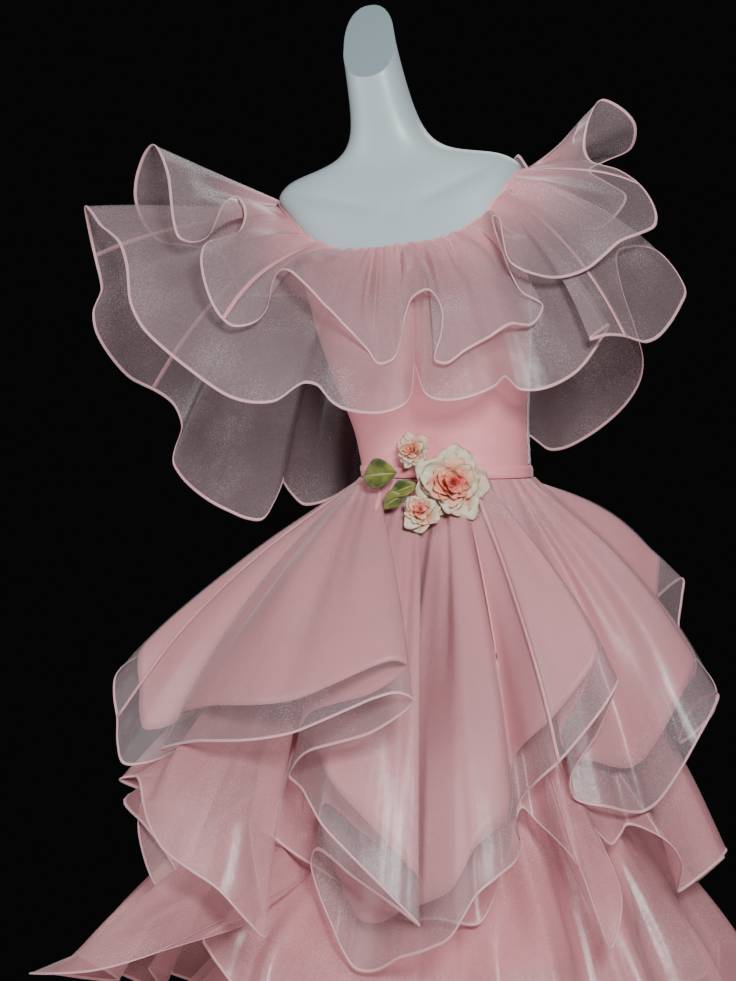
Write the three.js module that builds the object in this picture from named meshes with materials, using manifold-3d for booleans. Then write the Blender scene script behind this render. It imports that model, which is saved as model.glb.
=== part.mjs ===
// A ball gown of sheer organza flounces over satin, standing on a limbless dress form.
// Millimetres, +Z up. The gown faces -Y and the origin lies on the floor under the waist.
// "turn" is the angle round the body: 0 at the front, rising towards +X.
import * as THREE from "three";
import { mergeVertices } from "three/addons/utils/BufferGeometryUtils.js";
import Module from "manifold-3d";

// Driving dimensions of the body and the stand
const WAIST_HEIGHT = 1080;      // floor to the lower edge of the waistband
const FORM_BOTTOM_RISE = -200;
const FORM_SIDES = 36;
const OVAL = 2.3;               // how square the body's sections are; 2 is an ellipse
const LEAN = 0.10;              // sideways lean of the body above the waist
const LEAN_MORE = 0.00017;
const LEAN_END = 430;           // above this rise the neck keeps a straight lean
const NECK_LEAN = 0.20;
const SHOULDER_TILT = 0.105;    // the left shoulder hangs lower than the right
const TILT_START = 150;         // rise at which the whole tilt is reached
const NECK_CUT_SLOPE = 1.5;     // rise of the oblique cut for each millimetre of depth
const POLE_RADIUS = 14;
const POLE_SIDES = 20;
const BASE_RADIUS = 170;
const BASE_THICK = 10;
const BASE_SIDES = 48;

// Driving dimensions of the cloth
const CLOTH = 1.2;              // wall of every cloth piece
const SEAM_GAP = 0.3;
const FORM_CLEAR = 0.6;         // cloth to the form's skin
const HEM_CLEAR = 20;           // floor to the lowest hem
const COLUMNS_PER_POINT = 2;    // columns of cloth for each point of a hem table

// Bodice, waistband and gathered neckline
const WAISTBAND_TALL = 15;
const CASING_BELOW = 9;         // the casing's lower edge under the neckline
const CASING_ABOVE = 6;
const GATHERS = 18;             // gathers round the casing
const GATHER_DEEP = 1.6;
const COLUMNS_PER_GATHER = 3;
const PANEL_GAP = 0.12;         // degrees taken off a bodice panel at each seam
const EDGE_CLEAR = 3.2;         // the bodice's free edges to the form's skin
const EDGE_STEP = 3;
const EDGE_GAP = 1.4;

// Skirt
const WAIST_SEAM_DROP = 1.4;
const UNDERSKIRT_ROUND = 430;   // by this drop the waist's oval has become round
const SKIRT_SIDES = 36;
const FIRST_SEAM_CLEAR = 5.8;   // the form's skin to the middle of the first flounce
const FIRST_SWELL = 0.11;       // how far a sheet swells out between its seam and its hem
const FIRST_STANDOFF = 22;      // the first flounce leaves room for the second under it
const SKIRT_ROWS = 3;
const TIER_DROPS = { second: 180, third: 430, fourth: 640 };
const TIER_CLEAR = 2.8;
const TIER_STANDOFF = 6;        // below its seam a tier stands this far off the underskirt
const TIER_SWELL = 0.08;
const OVER_SWELL = 2.4;         // times the swell where a tier falls outside the flounce above
const FLOOR_SWELL = 0.05;
const NEST_CLEAR = 14;          // a tier stays this far inside the flounces over it
const FIELD_TURN = 4;           // size of the fields in which the nesting is measured
const FIELD_TALL = 20;
const FIELD_STEPS = 5;
const FLOOR_WAVES = 17;
const FLOOR_REACH = 560;
const FLOOR_WAVE_DEEP = 42;
const FLOOR_FULLER = 40;
const FULLER_TURN = -50;
const HEM_STEP = 64;            // the lining of the first flounce stops this far above its hem
const LINING_GAP = 0.9;
const LEAST_KEPT = 0.35;

// Ruffles of the neckline
const COLLAR_CENTRE = -60;      // x of the axis that the ruffles' turns are measured about
const RUFFLE_ROWS = 2;
const RUFFLE_SWELL = 0.1;
const UPPER = { clear: 8, below: 1, lift: 8 };
const LOWER = { clear: 6, below: 4, lift: 4 };

// Spray at the waist
const SPRAY_TOP = 200;          // rise above which no flower reaches
const ROSE_SIDES = 20;
const PETALS = 5;
const PETAL_LOBE = 0.05;
const LEAF_STEPS = 6;
const LEAF_FOLD = 0.3;          // how far the two halves rise from the leaf's middle
const LEAF_TIP_WIDE = 0.12;
const LEAF_ROUND = 0.8;         // lower is a blunter leaf

function table(columns, rows) {
  return rows.map((row) => Object.fromEntries(columns.map((name, i) => [name, row[i]])));
}

// Half widths and depths of the form, and how far each section sits forward.
const FORM = table(["rise", "across", "deep", "forward"], [
  [-200, 165, 112, 0], [-120, 160, 112, 0], [-60, 138, 100, 0], [0, 119, 88, 0],
  [60, 122, 90, 2], [110, 130, 98, 6], [160, 140, 111, 10], [215, 150, 119, 12],
  [270, 157, 111, 10], [320, 163, 97, 6], [360, 170, 86, 3], [395, 176, 76, 2],
  [418, 178, 66, 2], [432, 171, 58, 3], [441, 150, 52, 4], [447, 118, 50, 6],
  [455, 86, 49, 9], [466, 66, 46, 13], [482, 54, 43, 17], [505, 47, 41, 23],
  [540, 42, 38, 32], [608, 37, 35, 45],
]);

// The gathered neckline, the same on both sides: its rise above the waist.
const NECKLINE = table(["turn", "rise"], [
  [0, 317], [30, 318], [50, 330], [65, 354], [76, 386], [86, 406], [96, 408],
  [108, 394], [125, 364], [150, 342], [180, 334],
]);

// The top edge of the bodice under the neckline, cut down to the armholes.
const BODICE_TOP = table(["turn", "below"], [
  [0, 0], [54, 0], [63, 20], [72, 62], [81, 112], [90, 142],
  [99, 137], [108, 96], [117, 44], [126, 10], [135, 0], [180, 0],
]);

// The satin underskirt's profile.
const UNDERSKIRT = table(["drop", "reach"], [
  [0, 119], [60, 141], [120, 168], [180, 186], [430, 240], [640, 276], [1060, 345],
]);

// Each hem is a closed line through these points; "seam" is where a fold starts on its seam,
// and "over" is 1 where the cloth falls outside the flounce above it.
const FLOUNCE_1 = table(["turn", "reach", "height", "seam"], [
  [-180, 400, 760, -180], [-170, 335, 745], [-160, 410, 765], [-150, 345, 750],
  [-140, 415, 760], [-130, 355, 745], [-120, 430, 780, -120], [-110, 360, 765],
  [-100, 452, 800], [-90, 375, 785, -102], [-82, 440, 815], [-75, 478, 790, -93],
  [-71, 472, 735], [-66, 462, 677, -88], [-61, 398, 694], [-57, 358, 730, -82],
  [-52, 405, 712], [-48, 432, 718, -77], [-34, 435, 744], [-22, 440, 756], [-11, 440, 774],
  [-1, 425, 808], [6, 408, 826], [9, 398, 816, -47], [6, 390, 794], [0, 390, 769],
  [-13, 376, 740], [-20, 350, 710, -35], [-23, 336, 694, -30], [-18, 346, 683],
  [-10, 375, 646], [2.4, 386, 579], [10, 384, 528, -8], [6, 364, 540], [-6, 348, 580],
  [-15, 336, 604, -4], [-18, 326, 578], [-13, 318, 500, 1], [-7, 320, 450], [-1, 330, 452],
  [5, 358, 477, 8], [15.6, 428, 525, 15], [20, 430, 579], [27, 410, 614],
  [29.5, 375, 630, 24], [30.5, 332, 642], [32, 328, 676, 28], [37, 380, 732],
  [44, 400, 795], [47.5, 400, 826, 42], [51, 375, 828], [52, 325, 750],
  [48, 300, 694, 48], [49, 304, 665, 51], [55, 328, 655], [65, 340, 642, 62],
  [67, 362, 662], [72, 400, 745], [81, 402, 791, 80], [90, 352, 762], [98, 332, 705, 95],
  [105, 378, 738], [112, 392, 775, 108], [117, 348, 850], [121, 362, 925],
  [128, 322, 870, 128], [136, 378, 800], [146, 325, 770], [156, 400, 765], [168, 330, 750],
]);
const FLOUNCE_2 = table(["turn", "reach", "height", "seam", "over"], [
  [-180, 400, 500, -180], [-168, 350, 485], [-156, 420, 510], [-144, 355, 490],
  [-132, 430, 520], [-120, 360, 500, -120], [-108, 445, 540], [-96, 375, 520],
  [-84, 445, 590, -90], [-77, 405, 600], [-70, 468, 648], [-64, 480, 655, -80],
  [-56, 440, 604], [-48, 412, 550, -76], [-46, 418, 515], [-52, 434, 530],
  [-58, 446, 600, -70], [-57, 438, 655], [-50, 464, 682], [-45, 472, 681, -66],
  [-38, 490, 645, null, 1], [-31, 500, 612, null, 1], [-20, 497, 578, null, 1],
  [-15, 455, 514, -54, 1], [-20, 415, 552, null, 1],
  [-29, 372, 640, -49, 1], [-33, 322, 610, -42], [-18, 300, 560], [-4, 302, 525, -6],
  [5, 318, 512], [13, 322, 522], [22, 340, 520], [29, 305, 580, 26], [34, 318, 660],
  [40, 395, 600], [44, 428, 500, 40], [49, 400, 560], [53, 318, 625, 50], [59, 316, 600],
  [65, 352, 622, 62], [70, 382, 575], [79, 352, 520], [88, 400, 560], [98, 358, 510],
  [108, 405, 540, 108], [118, 358, 500], [128, 385, 494], [134, 382, 452],
  [143, 352, 470], [153, 400, 500], [163, 350, 480], [172, 385, 495],
]);
const FLOUNCE_3 = table(["turn", "reach", "height", "seam"], [
  [-180, 480, 250, -180], [-167, 450, 235], [-154, 495, 260], [-141, 432, 240],
  [-128, 505, 270], [-115, 438, 250], [-102, 520, 300, -102], [-91, 445, 295],
  [-80, 545, 370], [-69, 470, 360, -72], [-58, 560, 400], [-49, 602, 430],
  [-41, 640, 455, -50], [-30, 618, 482], [-25, 560, 503], [-24, 495, 520, -36],
  [-31, 430, 470], [-26, 405, 410, -26], [-16, 450, 380], [-8, 395, 350], [0, 440, 360, 0],
  [9, 392, 330], [18, 440, 350], [26, 398, 330], [35, 460, 370], [45, 400, 340],
  [54, 450, 370, 54], [64, 400, 340], [75, 460, 355], [87, 410, 320], [99, 470, 335],
  [112, 412, 310, 112], [126, 440, 372], [134, 455, 300], [146, 418, 272], [158, 470, 262],
  [169, 448, 240],
]);
const RUFFLE_UPPER = table(["turn", "reach", "height", "seam"], [
  [-180, 200, 1300, -180], [-165, 235, 1290], [-150, 215, 1310], [-137, 262, 1310],
  [-125, 245, 1345], [-112, 315, 1350, -122], [-103, 325, 1410], [-92, 388, 1425],
  [-83, 402, 1480], [-79, 388, 1528, -100], [-73, 362, 1552, -94], [-66, 340, 1505],
  [-60, 338, 1460], [-56, 332, 1414, -80], [-58, 308, 1408], [-63, 282, 1422],
  [-70, 262, 1466], [-70.5, 244, 1478, -73], [-64, 232, 1452], [-56, 250, 1420],
  [-50.5, 300, 1405], [-48, 313, 1378, -64], [-44, 305, 1320], [-40, 286, 1290],
  [-37, 256, 1296], [-39.5, 230, 1322, -50], [-41, 222, 1345], [-36, 222, 1364],
  [-27, 228, 1362, -38], [-16, 224, 1326], [-5, 212, 1282], [1, 200, 1256],
  [5, 200, 1238, -8], [11, 200, 1244], [14, 180, 1280, 2], [18, 176, 1325],
  [25, 196, 1336, 14], [29, 212, 1306], [28, 214, 1270, 19], [26, 217, 1243],
  [30, 224, 1238], [35, 230, 1253, 30], [44, 232, 1272], [52, 240, 1291],
  [59, 246, 1290, 50], [65, 244, 1318], [59, 228, 1335, 54], [54, 210, 1390],
  [51, 202, 1436, 59], [51, 218, 1432], [52, 234, 1376, 63], [59, 254, 1357],
  [67, 267, 1354, 70], [75, 290, 1369], [82, 319, 1405], [90, 355, 1428, 82],
  [94, 352, 1456], [96, 330, 1490], [97, 298, 1512], [98, 262, 1524, 92],
  [101, 252, 1552], [102, 274, 1612, 97], [106, 322, 1585], [112, 322, 1548],
  [116, 268, 1520, 108], [120, 330, 1486], [128, 300, 1440], [135, 235, 1490, 128],
  [141, 200, 1550], [147, 205, 1500], [154, 240, 1400], [167, 205, 1320],
]);
const RUFFLE_LOWER = table(["turn", "reach", "height", "seam"], [
  [-180, 215, 1085, -180], [-168, 240, 1095], [-157, 205, 1060], [-146, 230, 1045],
  [-136, 188, 1052, -146], [-126, 190, 1038], [-119, 222, 1030], [-112, 236, 1064],
  [-106, 218, 1068, -126], [-101, 242, 1010], [-95, 282, 1022], [-90, 328, 1055],
  [-87, 354, 1095, -113], [-88, 352, 1120], [-91, 350, 1148], [-91.5, 365, 1182],
  [-90, 394, 1204, -106], [-87.5, 424, 1222], [-83, 461, 1284], [-82, 464, 1320],
  [-82, 452, 1349, -95], [-81, 456, 1384], [-78, 467, 1468, -86], [-73, 438, 1438],
  [-69, 410, 1413, -78], [-64, 398, 1371], [-61, 396, 1328], [-57, 384, 1292],
  [-54, 366, 1268, -62], [-47, 332, 1230], [-39, 299, 1196], [-33, 279, 1186],
  [-28, 254, 1188, -38], [-25, 236, 1203], [-22, 226, 1212], [-15.5, 227, 1208, -24],
  [-10, 233, 1189], [-5, 229, 1177], [7, 222, 1172, -2], [15.6, 214, 1184],
  [18, 200, 1200], [19.5, 172, 1238, 14], [21, 196, 1218], [23, 212, 1197],
  [28, 221, 1189], [36, 231, 1192, 32], [46, 238, 1208], [51, 232, 1220, 46],
  [55, 240, 1204], [61.5, 262, 1205], [70, 284, 1227, 62], [76, 296, 1258],
  [80, 304, 1284, 68], [76, 316, 1290], [69, 308, 1270, 71], [73, 320, 1276],
  [79, 334, 1275], [84, 352, 1268], [88.5, 367, 1279, 80], [97, 390, 1325],
  [99.5, 394, 1345, 90], [101, 352, 1400], [104, 300, 1398, 98], [108, 325, 1300],
  [111, 342, 1250], [115, 342, 1212, 112], [122, 320, 1166], [132, 272, 1120],
  [138, 250, 1114], [142, 226, 1134, 136], [150, 245, 1095], [159, 210, 1112],
  [169, 238, 1085],
]);

// Roses and leaves: where each sits round the waist, its size, how far it tips back, and for
// a leaf the way that it points.
const ROSES = table(["name", "turn", "reach", "rise", "radius", "deep", "tip"], [
  ["rose_large", 25, 104.5, -2, 42, 32, 10],
  ["rose_upper", -9, 91.5, 36, 25, 26, 6],
  ["rose_lower", -3, 131, -50, 21, 24, 24],
]);
const LEAVES = table(["name", "turn", "reach", "rise", "long", "wide", "tip", "points"], [
  ["leaf_1", -16, 99.5, 8, 62, 26, 10, 82],
  ["leaf_2", -12, 134, -24, 56, 24, 26, 100],
  ["leaf_3", -2, 102, -8, 44, 18, 14, 96],
]);
const ROSE_PROFILE = table(["out", "up"], [[0.4, 0], [0.8, 0.22], [1, 0.58], [0.78, 0.86], [0.36, 1]]);

const COLOURS = {
  satin: { color: 0xf3aeb4, roughness: 0.42, metalness: 0 },
  organza: { color: 0xe8b3b8, roughness: 0.5, metalness: 0 },
  form: { color: 0xc6d3da, roughness: 0.35, metalness: 0 },
  steel: { color: 0xb9bcc0, roughness: 0.3, metalness: 0.9 },
  petal: { color: 0xf3d9c6, roughness: 0.6, metalness: 0 },
  leaf: { color: 0x7f8a3c, roughness: 0.6, metalness: 0 },
};

const gown = new THREE.Group();

const rad = THREE.MathUtils.degToRad;
const mix = THREE.MathUtils.lerp;

function add(name, geometry, look) {
  const mesh = new THREE.Mesh(geometry, new THREE.MeshStandardMaterial(COLOURS[look]));
  mesh.name = name;
  gown.add(mesh);
  return mesh;
}

// A column of a table, read in a straight line between its rows.
function read(rows, key, at, column) {
  const next = rows.findIndex((row) => row[key] >= at);
  if (next < 0) return rows[rows.length - 1][column];
  if (next === 0) return rows[0][column];
  const low = rows[next - 1];
  const high = rows[next];
  return mix(low[column], high[column], (at - low[key]) / (high[key] - low[key]));
}

function polar(turn, reach, height, centre = 0) {
  return new THREE.Vector3(
    centre + reach * Math.sin(rad(turn)), -reach * Math.cos(rad(turn)), height);
}

// A closed body from its corners and its flat faces, each listed outside round.
function body(corners, faces) {
  const index = faces.flatMap((face) =>
    face.slice(2).flatMap((corner, i) => [face[0], face[i + 1], corner]));
  const geometry = new THREE.BufferGeometry();
  geometry.setFromPoints(corners);
  geometry.setIndex(index);
  geometry.computeVertexNormals();
  return geometry;
}

// Rings of corners, lowest first, closed by a flat face at each end.
function loft(rings) {
  const count = rings[0].length;
  const faces = [];
  for (let ring = 0; ring + 1 < rings.length; ring += 1) {
    for (let i = 0; i < count; i += 1) {
      const a = ring * count + i;
      const b = ring * count + ((i + 1) % count);
      faces.push([b, b + count, a + count, a]);
    }
  }
  const corners = rings.flat();
  const last = (rings.length - 1) * count;
  for (const [start, up] of [[0, false], [last, true]]) {
    const middle = new THREE.Vector3();
    rings[start / count].forEach((corner) => middle.addScaledVector(corner, 1 / count));
    const centre = corners.push(middle) - 1;
    for (let i = 0; i < count; i += 1) {
      const a = start + i;
      const b = start + ((i + 1) % count);
      faces.push(up ? [a, b, centre] : [b, a, centre]);
    }
  }
  return body(corners, faces);
}

// The direction that a sheet faces at one of its points.
function facing(grid, row, column, closed) {
  const count = grid[0].length;
  const wrap = (i) => (closed ? (i + count) % count : Math.min(Math.max(i, 0), count - 1));
  const down = new THREE.Vector3().subVectors(
    grid[Math.min(row + 1, grid.length - 1)][column], grid[Math.max(row - 1, 0)][column]);
  const along = new THREE.Vector3().subVectors(
    grid[row][wrap(column + 1)], grid[row][wrap(column - 1)]);
  return down.cross(along).normalize();
}

// A cloth wall on a grid of points, its rows running down and its columns round the body.
function wall(grid, inside, outside, closed) {
  const rows = grid.length;
  const last = rows - 1;
  const count = grid[0].length;
  const shift = (by) => grid.map((line, row) => line.map((point, column) =>
    point.clone().addScaledVector(facing(grid, row, column, closed), by)));
  const corners = [...shift(outside).flat(), ...shift(-inside).flat()];
  const outer = (row, i) => row * count + (i % count);
  const inner = (row, i) => rows * count + outer(row, i);
  const spans = closed ? count : count - 1;
  const faces = [];
  for (let i = 0; i < spans; i += 1) {
    for (let row = 0; row + 1 < rows; row += 1) {
      faces.push([outer(row, i), outer(row + 1, i), outer(row + 1, i + 1), outer(row, i + 1)]);
      faces.push([inner(row, i), inner(row, i + 1), inner(row + 1, i + 1), inner(row + 1, i)]);
    }
    faces.push([outer(0, i), outer(0, i + 1), inner(0, i + 1), inner(0, i)]);
    faces.push([outer(last, i + 1), outer(last, i), inner(last, i), inner(last, i + 1)]);
  }
  if (!closed) {
    for (let row = 0; row + 1 < rows; row += 1) {
      faces.push([outer(row + 1, 0), outer(row, 0), inner(row, 0), inner(row + 1, 0)]);
      faces.push([outer(row, spans), outer(row + 1, spans), inner(row + 1, spans), inner(row, spans)]);
    }
  }
  return body(corners, faces);
}

// A point just off the form's skin: the sections are ovals that lean and tilt with the body.
function onForm(turn, rise, clear) {
  const across = read(FORM, "rise", rise, "across");
  const deep = read(FORM, "rise", rise, "deep");
  const forward = read(FORM, "rise", rise, "forward");
  const side = Math.sin(rad(turn));
  const front = Math.cos(rad(turn));
  const oval = Math.abs(side / across) ** OVAL + Math.abs(front / deep) ** OVAL;
  const reach = oval ** (-1 / OVAL) + clear;
  const above = Math.min(Math.max(rise, 0), LEAN_END);
  const neck = Math.max(rise - LEAN_END, 0);
  const lean = -(LEAN * above + LEAN_MORE * above * above + NECK_LEAN * neck);
  const tilt = SHOULDER_TILT * THREE.MathUtils.smoothstep(rise, 0, TILT_START);
  const height = WAIST_HEIGHT + rise + tilt * reach * side;
  return new THREE.Vector3(lean + reach * side, -forward - reach * front, height);
}

function around(count, from, make) {
  return Array.from({ length: count }, (_, i) => make(from + (i * 360) / count));
}

function makeForm() {
  const rings = FORM.map((section, i) => around(FORM_SIDES, -180, (turn) => {
    const point = onForm(turn, section.rise, 0);
    if (i === FORM.length - 1) point.z += NECK_CUT_SLOPE * (point.y + section.forward);
    return point;
  }));
  add("form_torso", loft(rings), "form");

  const bottom = WAIST_HEIGHT + FORM_BOTTOM_RISE;
  const poleTall = bottom - BASE_THICK - 2 * SEAM_GAP;
  const pole = new THREE.CylinderGeometry(POLE_RADIUS, POLE_RADIUS, poleTall, POLE_SIDES);
  pole.rotateX(Math.PI / 2);
  pole.translate(0, 0, BASE_THICK + SEAM_GAP + poleTall / 2);
  add("form_pole", pole, "steel");
  const base = new THREE.CylinderGeometry(BASE_RADIUS, BASE_RADIUS, BASE_THICK, BASE_SIDES);
  base.rotateX(Math.PI / 2);
  base.translate(0, 0, BASE_THICK / 2);
  add("form_base", base, "steel");
}

function neckRise(turn) {
  return read(NECKLINE, "turn", Math.abs(turn), "rise");
}

// The bodice's rows stand at the form's own sections up to its curved top edge, where it
// stands a little off the form.
function bodicePanel(from, to) {
  const turns = [];
  for (let turn = from; turn <= to; turn += 360 / FORM_SIDES) turns.push(turn);
  turns[0] += PANEL_GAP;
  turns[turns.length - 1] -= PANEL_GAP;
  const levels = FORM.map((section) => section.rise)
    .filter((rise) => rise >= 0 && rise < NECKLINE[0].rise);
  const column = (turn) => {
    const top = neckRise(turn) - CASING_BELOW - EDGE_GAP
      - read(BODICE_TOP, "turn", Math.abs(turn), "below");
    const rises = [...levels, top].map((rise, i) =>
      Math.min(rise, top - EDGE_STEP * (levels.length - i)));
    return rises.map((rise, i) =>
      onForm(turn, rise, rise === levels[i] ? FORM_CLEAR : EDGE_CLEAR)).reverse();
  };
  const columns = turns.map(column);
  const grid = columns[0].map((_, row) => columns.map((points) => points[row]));
  return wall(grid, 0, CLOTH, false);
}

function makeBodice() {
  add("bodice_front", bodicePanel(-90, 90), "satin");
  add("bodice_back_right", bodicePanel(90, 180), "satin");
  add("bodice_back_left", bodicePanel(-180, -90), "satin");

  const clear = FORM_CLEAR + CLOTH + SEAM_GAP;
  const band = [WAISTBAND_TALL, 0].map((rise) =>
    around(FORM_SIDES, -180, (turn) => onForm(turn, rise, clear)));
  add("waistband", wall(band, 0, 2 * CLOTH, true), "satin");

  const columns = GATHERS * COLUMNS_PER_GATHER;
  const casing = [CASING_ABOVE, -CASING_BELOW].map((offset) => around(columns, -180, (turn) => {
    const gather = GATHER_DEEP * (0.5 - 0.5 * Math.cos(rad(turn * GATHERS)));
    return onForm(turn, neckRise(turn) + offset, FORM_CLEAR + gather);
  }));
  add("neck_casing", wall(casing, 0, CLOTH, true), "satin");
}

// Seam angles for a hem's columns: the hem's length is shared evenly between the named seams.
function seamTurns(hem, rows) {
  const count = rows.length * COLUMNS_PER_POINT;
  const far = [0];
  for (let i = 1; i <= count; i += 1) {
    far.push(far[i - 1] + hem(i).distanceTo(hem(i - 1)));
  }
  const pins = rows.flatMap((row, i) =>
    (row.seam == null ? [] : [{ at: far[i * COLUMNS_PER_POINT], seam: row.seam }]));
  pins.push({ at: far[count], seam: rows[0].seam + 360 });
  return far.map((at) => read(pins, "at", at, "seam"));
}

// A flounce hangs from its seam to its hem, and swells out a little between them.
function flounce(rows, plan) {
  const curve = new THREE.CatmullRomCurve3(
    rows.map((row) => polar(row.turn, row.reach, row.height, plan.centre)), true, "centripetal");
  const count = rows.length * COLUMNS_PER_POINT;
  const hem = (i) => curve.getPoint((i % count) / count);
  const seams = seamTurns(hem, rows);
  const grid = [];
  for (let row = 0; row <= plan.down; row += 1) {
    const share = row / plan.down;
    const bulge = plan.swell * Math.sin(Math.PI * share);
    grid.push(Array.from({ length: count }, (_, i) => {
      const start = plan.seam(seams[i]);
      const end = hem(i);
      const { over } = rows[Math.floor(i / COLUMNS_PER_POINT)];
      const out = share + bulge * (over ? OVER_SWELL : 1);
      const point = new THREE.Vector3(
        mix(start.x, end.x, out), mix(start.y, end.y, out), mix(start.z, end.z, share));
      point.z += plan.lift * Math.sin(Math.PI * share);
      return plan.settle ? plan.settle(point, share, over) : point;
    }));
  }
  return grid;
}

// The least reach of a sheet in each small field of turn and height, to keep what is under it
// inside.
function leastReach(grid) {
  const least = new Map();
  const key = (turn, height) => {
    const field = Math.round(turn / FIELD_TURN);
    const fields = 360 / FIELD_TURN;
    return `${((field % fields) + fields) % fields},${Math.round(height / FIELD_TALL)}`;
  };
  const count = grid[0].length;
  for (let row = 0; row + 1 < grid.length; row += 1) {
    for (let i = 0; i < count; i += 1) {
      for (let u = 0; u <= FIELD_STEPS; u += 1) {
        for (let v = 0; v <= 2 * FIELD_STEPS; v += 1) {
          const next = (i + 1) % count;
          const above = grid[row][i].clone().lerp(grid[row][next], u / FIELD_STEPS);
          const below = grid[row + 1][i].clone().lerp(grid[row + 1][next], u / FIELD_STEPS);
          const point = above.lerp(below, v / (2 * FIELD_STEPS));
          const place = key(THREE.MathUtils.radToDeg(Math.atan2(point.x, -point.y)), point.z);
          const reach = Math.hypot(point.x, point.y);
          if (!(least.get(place) <= reach)) least.set(place, reach);
        }
      }
    }
  }
  return (turn, height) => {
    let reach = Infinity;
    for (const dTurn of [-FIELD_TURN, 0, FIELD_TURN]) {
      for (const dHeight of [-FIELD_TALL, 0, FIELD_TALL]) {
        reach = Math.min(reach, least.get(key(turn + dTurn, height + dHeight)) ?? Infinity);
      }
    }
    return reach;
  };
}

function underskirtPoint(turn, drop, clear) {
  const round = THREE.MathUtils.smoothstep(drop, 0, UNDERSKIRT_ROUND);
  const reach = read(UNDERSKIRT, "drop", drop, "reach");
  const oval = onForm(turn, 0, 0);
  const waist = Math.hypot(oval.x, oval.y);
  const widened = waist + (reach - UNDERSKIRT[0].reach);
  return polar(turn, mix(widened, reach, round) + clear, WAIST_HEIGHT - drop);
}

// Holds a flounce's point outside the underskirt and inside the flounces over it.
function keepBetween(point, outer, standoff) {
  const turn = THREE.MathUtils.radToDeg(Math.atan2(point.x, -point.y));
  const reach = Math.hypot(point.x, point.y);
  const under = underskirtPoint(turn, WAIST_HEIGHT - point.z, standoff);
  const least = Math.hypot(under.x, under.y);
  const most = Math.min(...outer.map((sheet) => sheet(turn, point.z))) - NEST_CLEAR;
  const kept = Math.max(Math.min(reach, most), least);
  return polar(turn, kept, point.z);
}

function makeSkirt() {
  const drops = UNDERSKIRT.map((row) => Math.max(row.drop, WAIST_SEAM_DROP));
  const under = drops.map((drop) => around(SKIRT_SIDES, -180, (turn) =>
    underskirtPoint(turn, drop, drop > WAIST_SEAM_DROP ? 0 : FORM_CLEAR + SEAM_GAP)));
  add("underskirt", wall(under, 0, CLOTH, true), "satin");

  const waistSeam = (turn) => {
    const point = onForm(turn, 0, FIRST_SEAM_CLEAR);
    point.z -= WAIST_SEAM_DROP;
    return point;
  };
  const first = flounce(FLOUNCE_1, {
    down: SKIRT_ROWS, swell: FIRST_SWELL, lift: 0, centre: 0, seam: waistSeam,
    settle: (point, share) => (share > 0 ? keepBetween(point, [], FIRST_STANDOFF * share) : point),
  });
  add("flounce_1", wall(first, CLOTH / 2, CLOTH / 2, true), "organza");
  add("flounce_1_lining", liningWall(shorter(first)), "satin");

  const outer = [leastReach(first)];
  const hang = (name, rows, drop, swell) => {
    const grid = flounce(rows, {
      down: SKIRT_ROWS, swell, lift: 0, centre: 0,
      seam: (turn) => underskirtPoint(turn, drop, TIER_CLEAR),
      settle: (point, share, over) =>
        (share > 0 ? keepBetween(point, over ? [] : outer, TIER_STANDOFF) : point),
    });
    outer.push(leastReach(grid));
    add(name, wall(grid, CLOTH / 2, CLOTH / 2, true), "organza");
  };
  hang("flounce_2", FLOUNCE_2, TIER_DROPS.second, TIER_SWELL);
  hang("flounce_3", FLOUNCE_3, TIER_DROPS.third, TIER_SWELL);
  hang("flounce_4", floorHem(), TIER_DROPS.fourth, FLOOR_SWELL);
  return first;
}

// The lining follows the inner face of the first flounce.
function liningWall(grid) {
  const outside = -CLOTH / 2 - LINING_GAP;
  return wall(grid, CLOTH - outside, outside, true);
}

// The same sheet, ending a step above its hem.
function shorter(grid) {
  const last = grid[grid.length - 1];
  const above = grid[grid.length - 2];
  const edge = last.map((point, i) => {
    const keep = 1 - HEM_STEP / point.distanceTo(above[i]);
    return above[i].clone().lerp(point, Math.max(keep, LEAST_KEPT));
  });
  return [...grid.slice(0, -1), edge];
}

// The lowest flounce just clears the floor, in even waves that are fuller at the left front.
function floorHem() {
  return Array.from({ length: FLOOR_WAVES * 2 }, (_, i) => {
    const turn = -180 + (i * 180) / FLOOR_WAVES;
    const fuller = FLOOR_FULLER * Math.cos(rad(turn - FULLER_TURN));
    const reach = FLOOR_REACH + fuller + FLOOR_WAVE_DEEP * (i % 2 ? 1 : -1);
    return { turn, reach, height: HEM_CLEAR, seam: i ? undefined : turn };
  });
}

function makeRuffles() {
  const hang = (name, rows, set) => {
    const grid = flounce(rows, {
      down: RUFFLE_ROWS, swell: RUFFLE_SWELL, lift: set.lift, centre: COLLAR_CENTRE,
      seam: (turn) => {
        const wrapped = turn > 180 ? turn - 360 : turn;
        return onForm(wrapped, neckRise(wrapped) - set.below, set.clear);
      },
    });
    add(name, wall(grid, CLOTH / 2, CLOTH / 2, true), "organza");
  };
  hang("ruffle_upper", RUFFLE_UPPER, UPPER);
  hang("ruffle_lower", RUFFLE_LOWER, LOWER);
}

const wasm = await Module();
wasm.setup();

function toSolid(geometry) {
  const plain = new THREE.BufferGeometry();
  plain.setAttribute("position", geometry.getAttribute("position"));
  plain.setIndex(geometry.getIndex());
  const merged = mergeVertices(plain);
  return new wasm.Manifold(new wasm.Mesh({
    numProp: 3,
    vertProperties: merged.getAttribute("position").array,
    triVerts: new Uint32Array(merged.getIndex().array),
  }));
}

function fromSolid(solid) {
  const { vertProperties, triVerts } = solid.getMesh();
  const geometry = new THREE.BufferGeometry();
  geometry.setAttribute("position", new THREE.BufferAttribute(vertProperties, 3));
  geometry.setIndex(new THREE.BufferAttribute(triVerts, 1));
  geometry.computeVertexNormals();
  return geometry;
}

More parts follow.
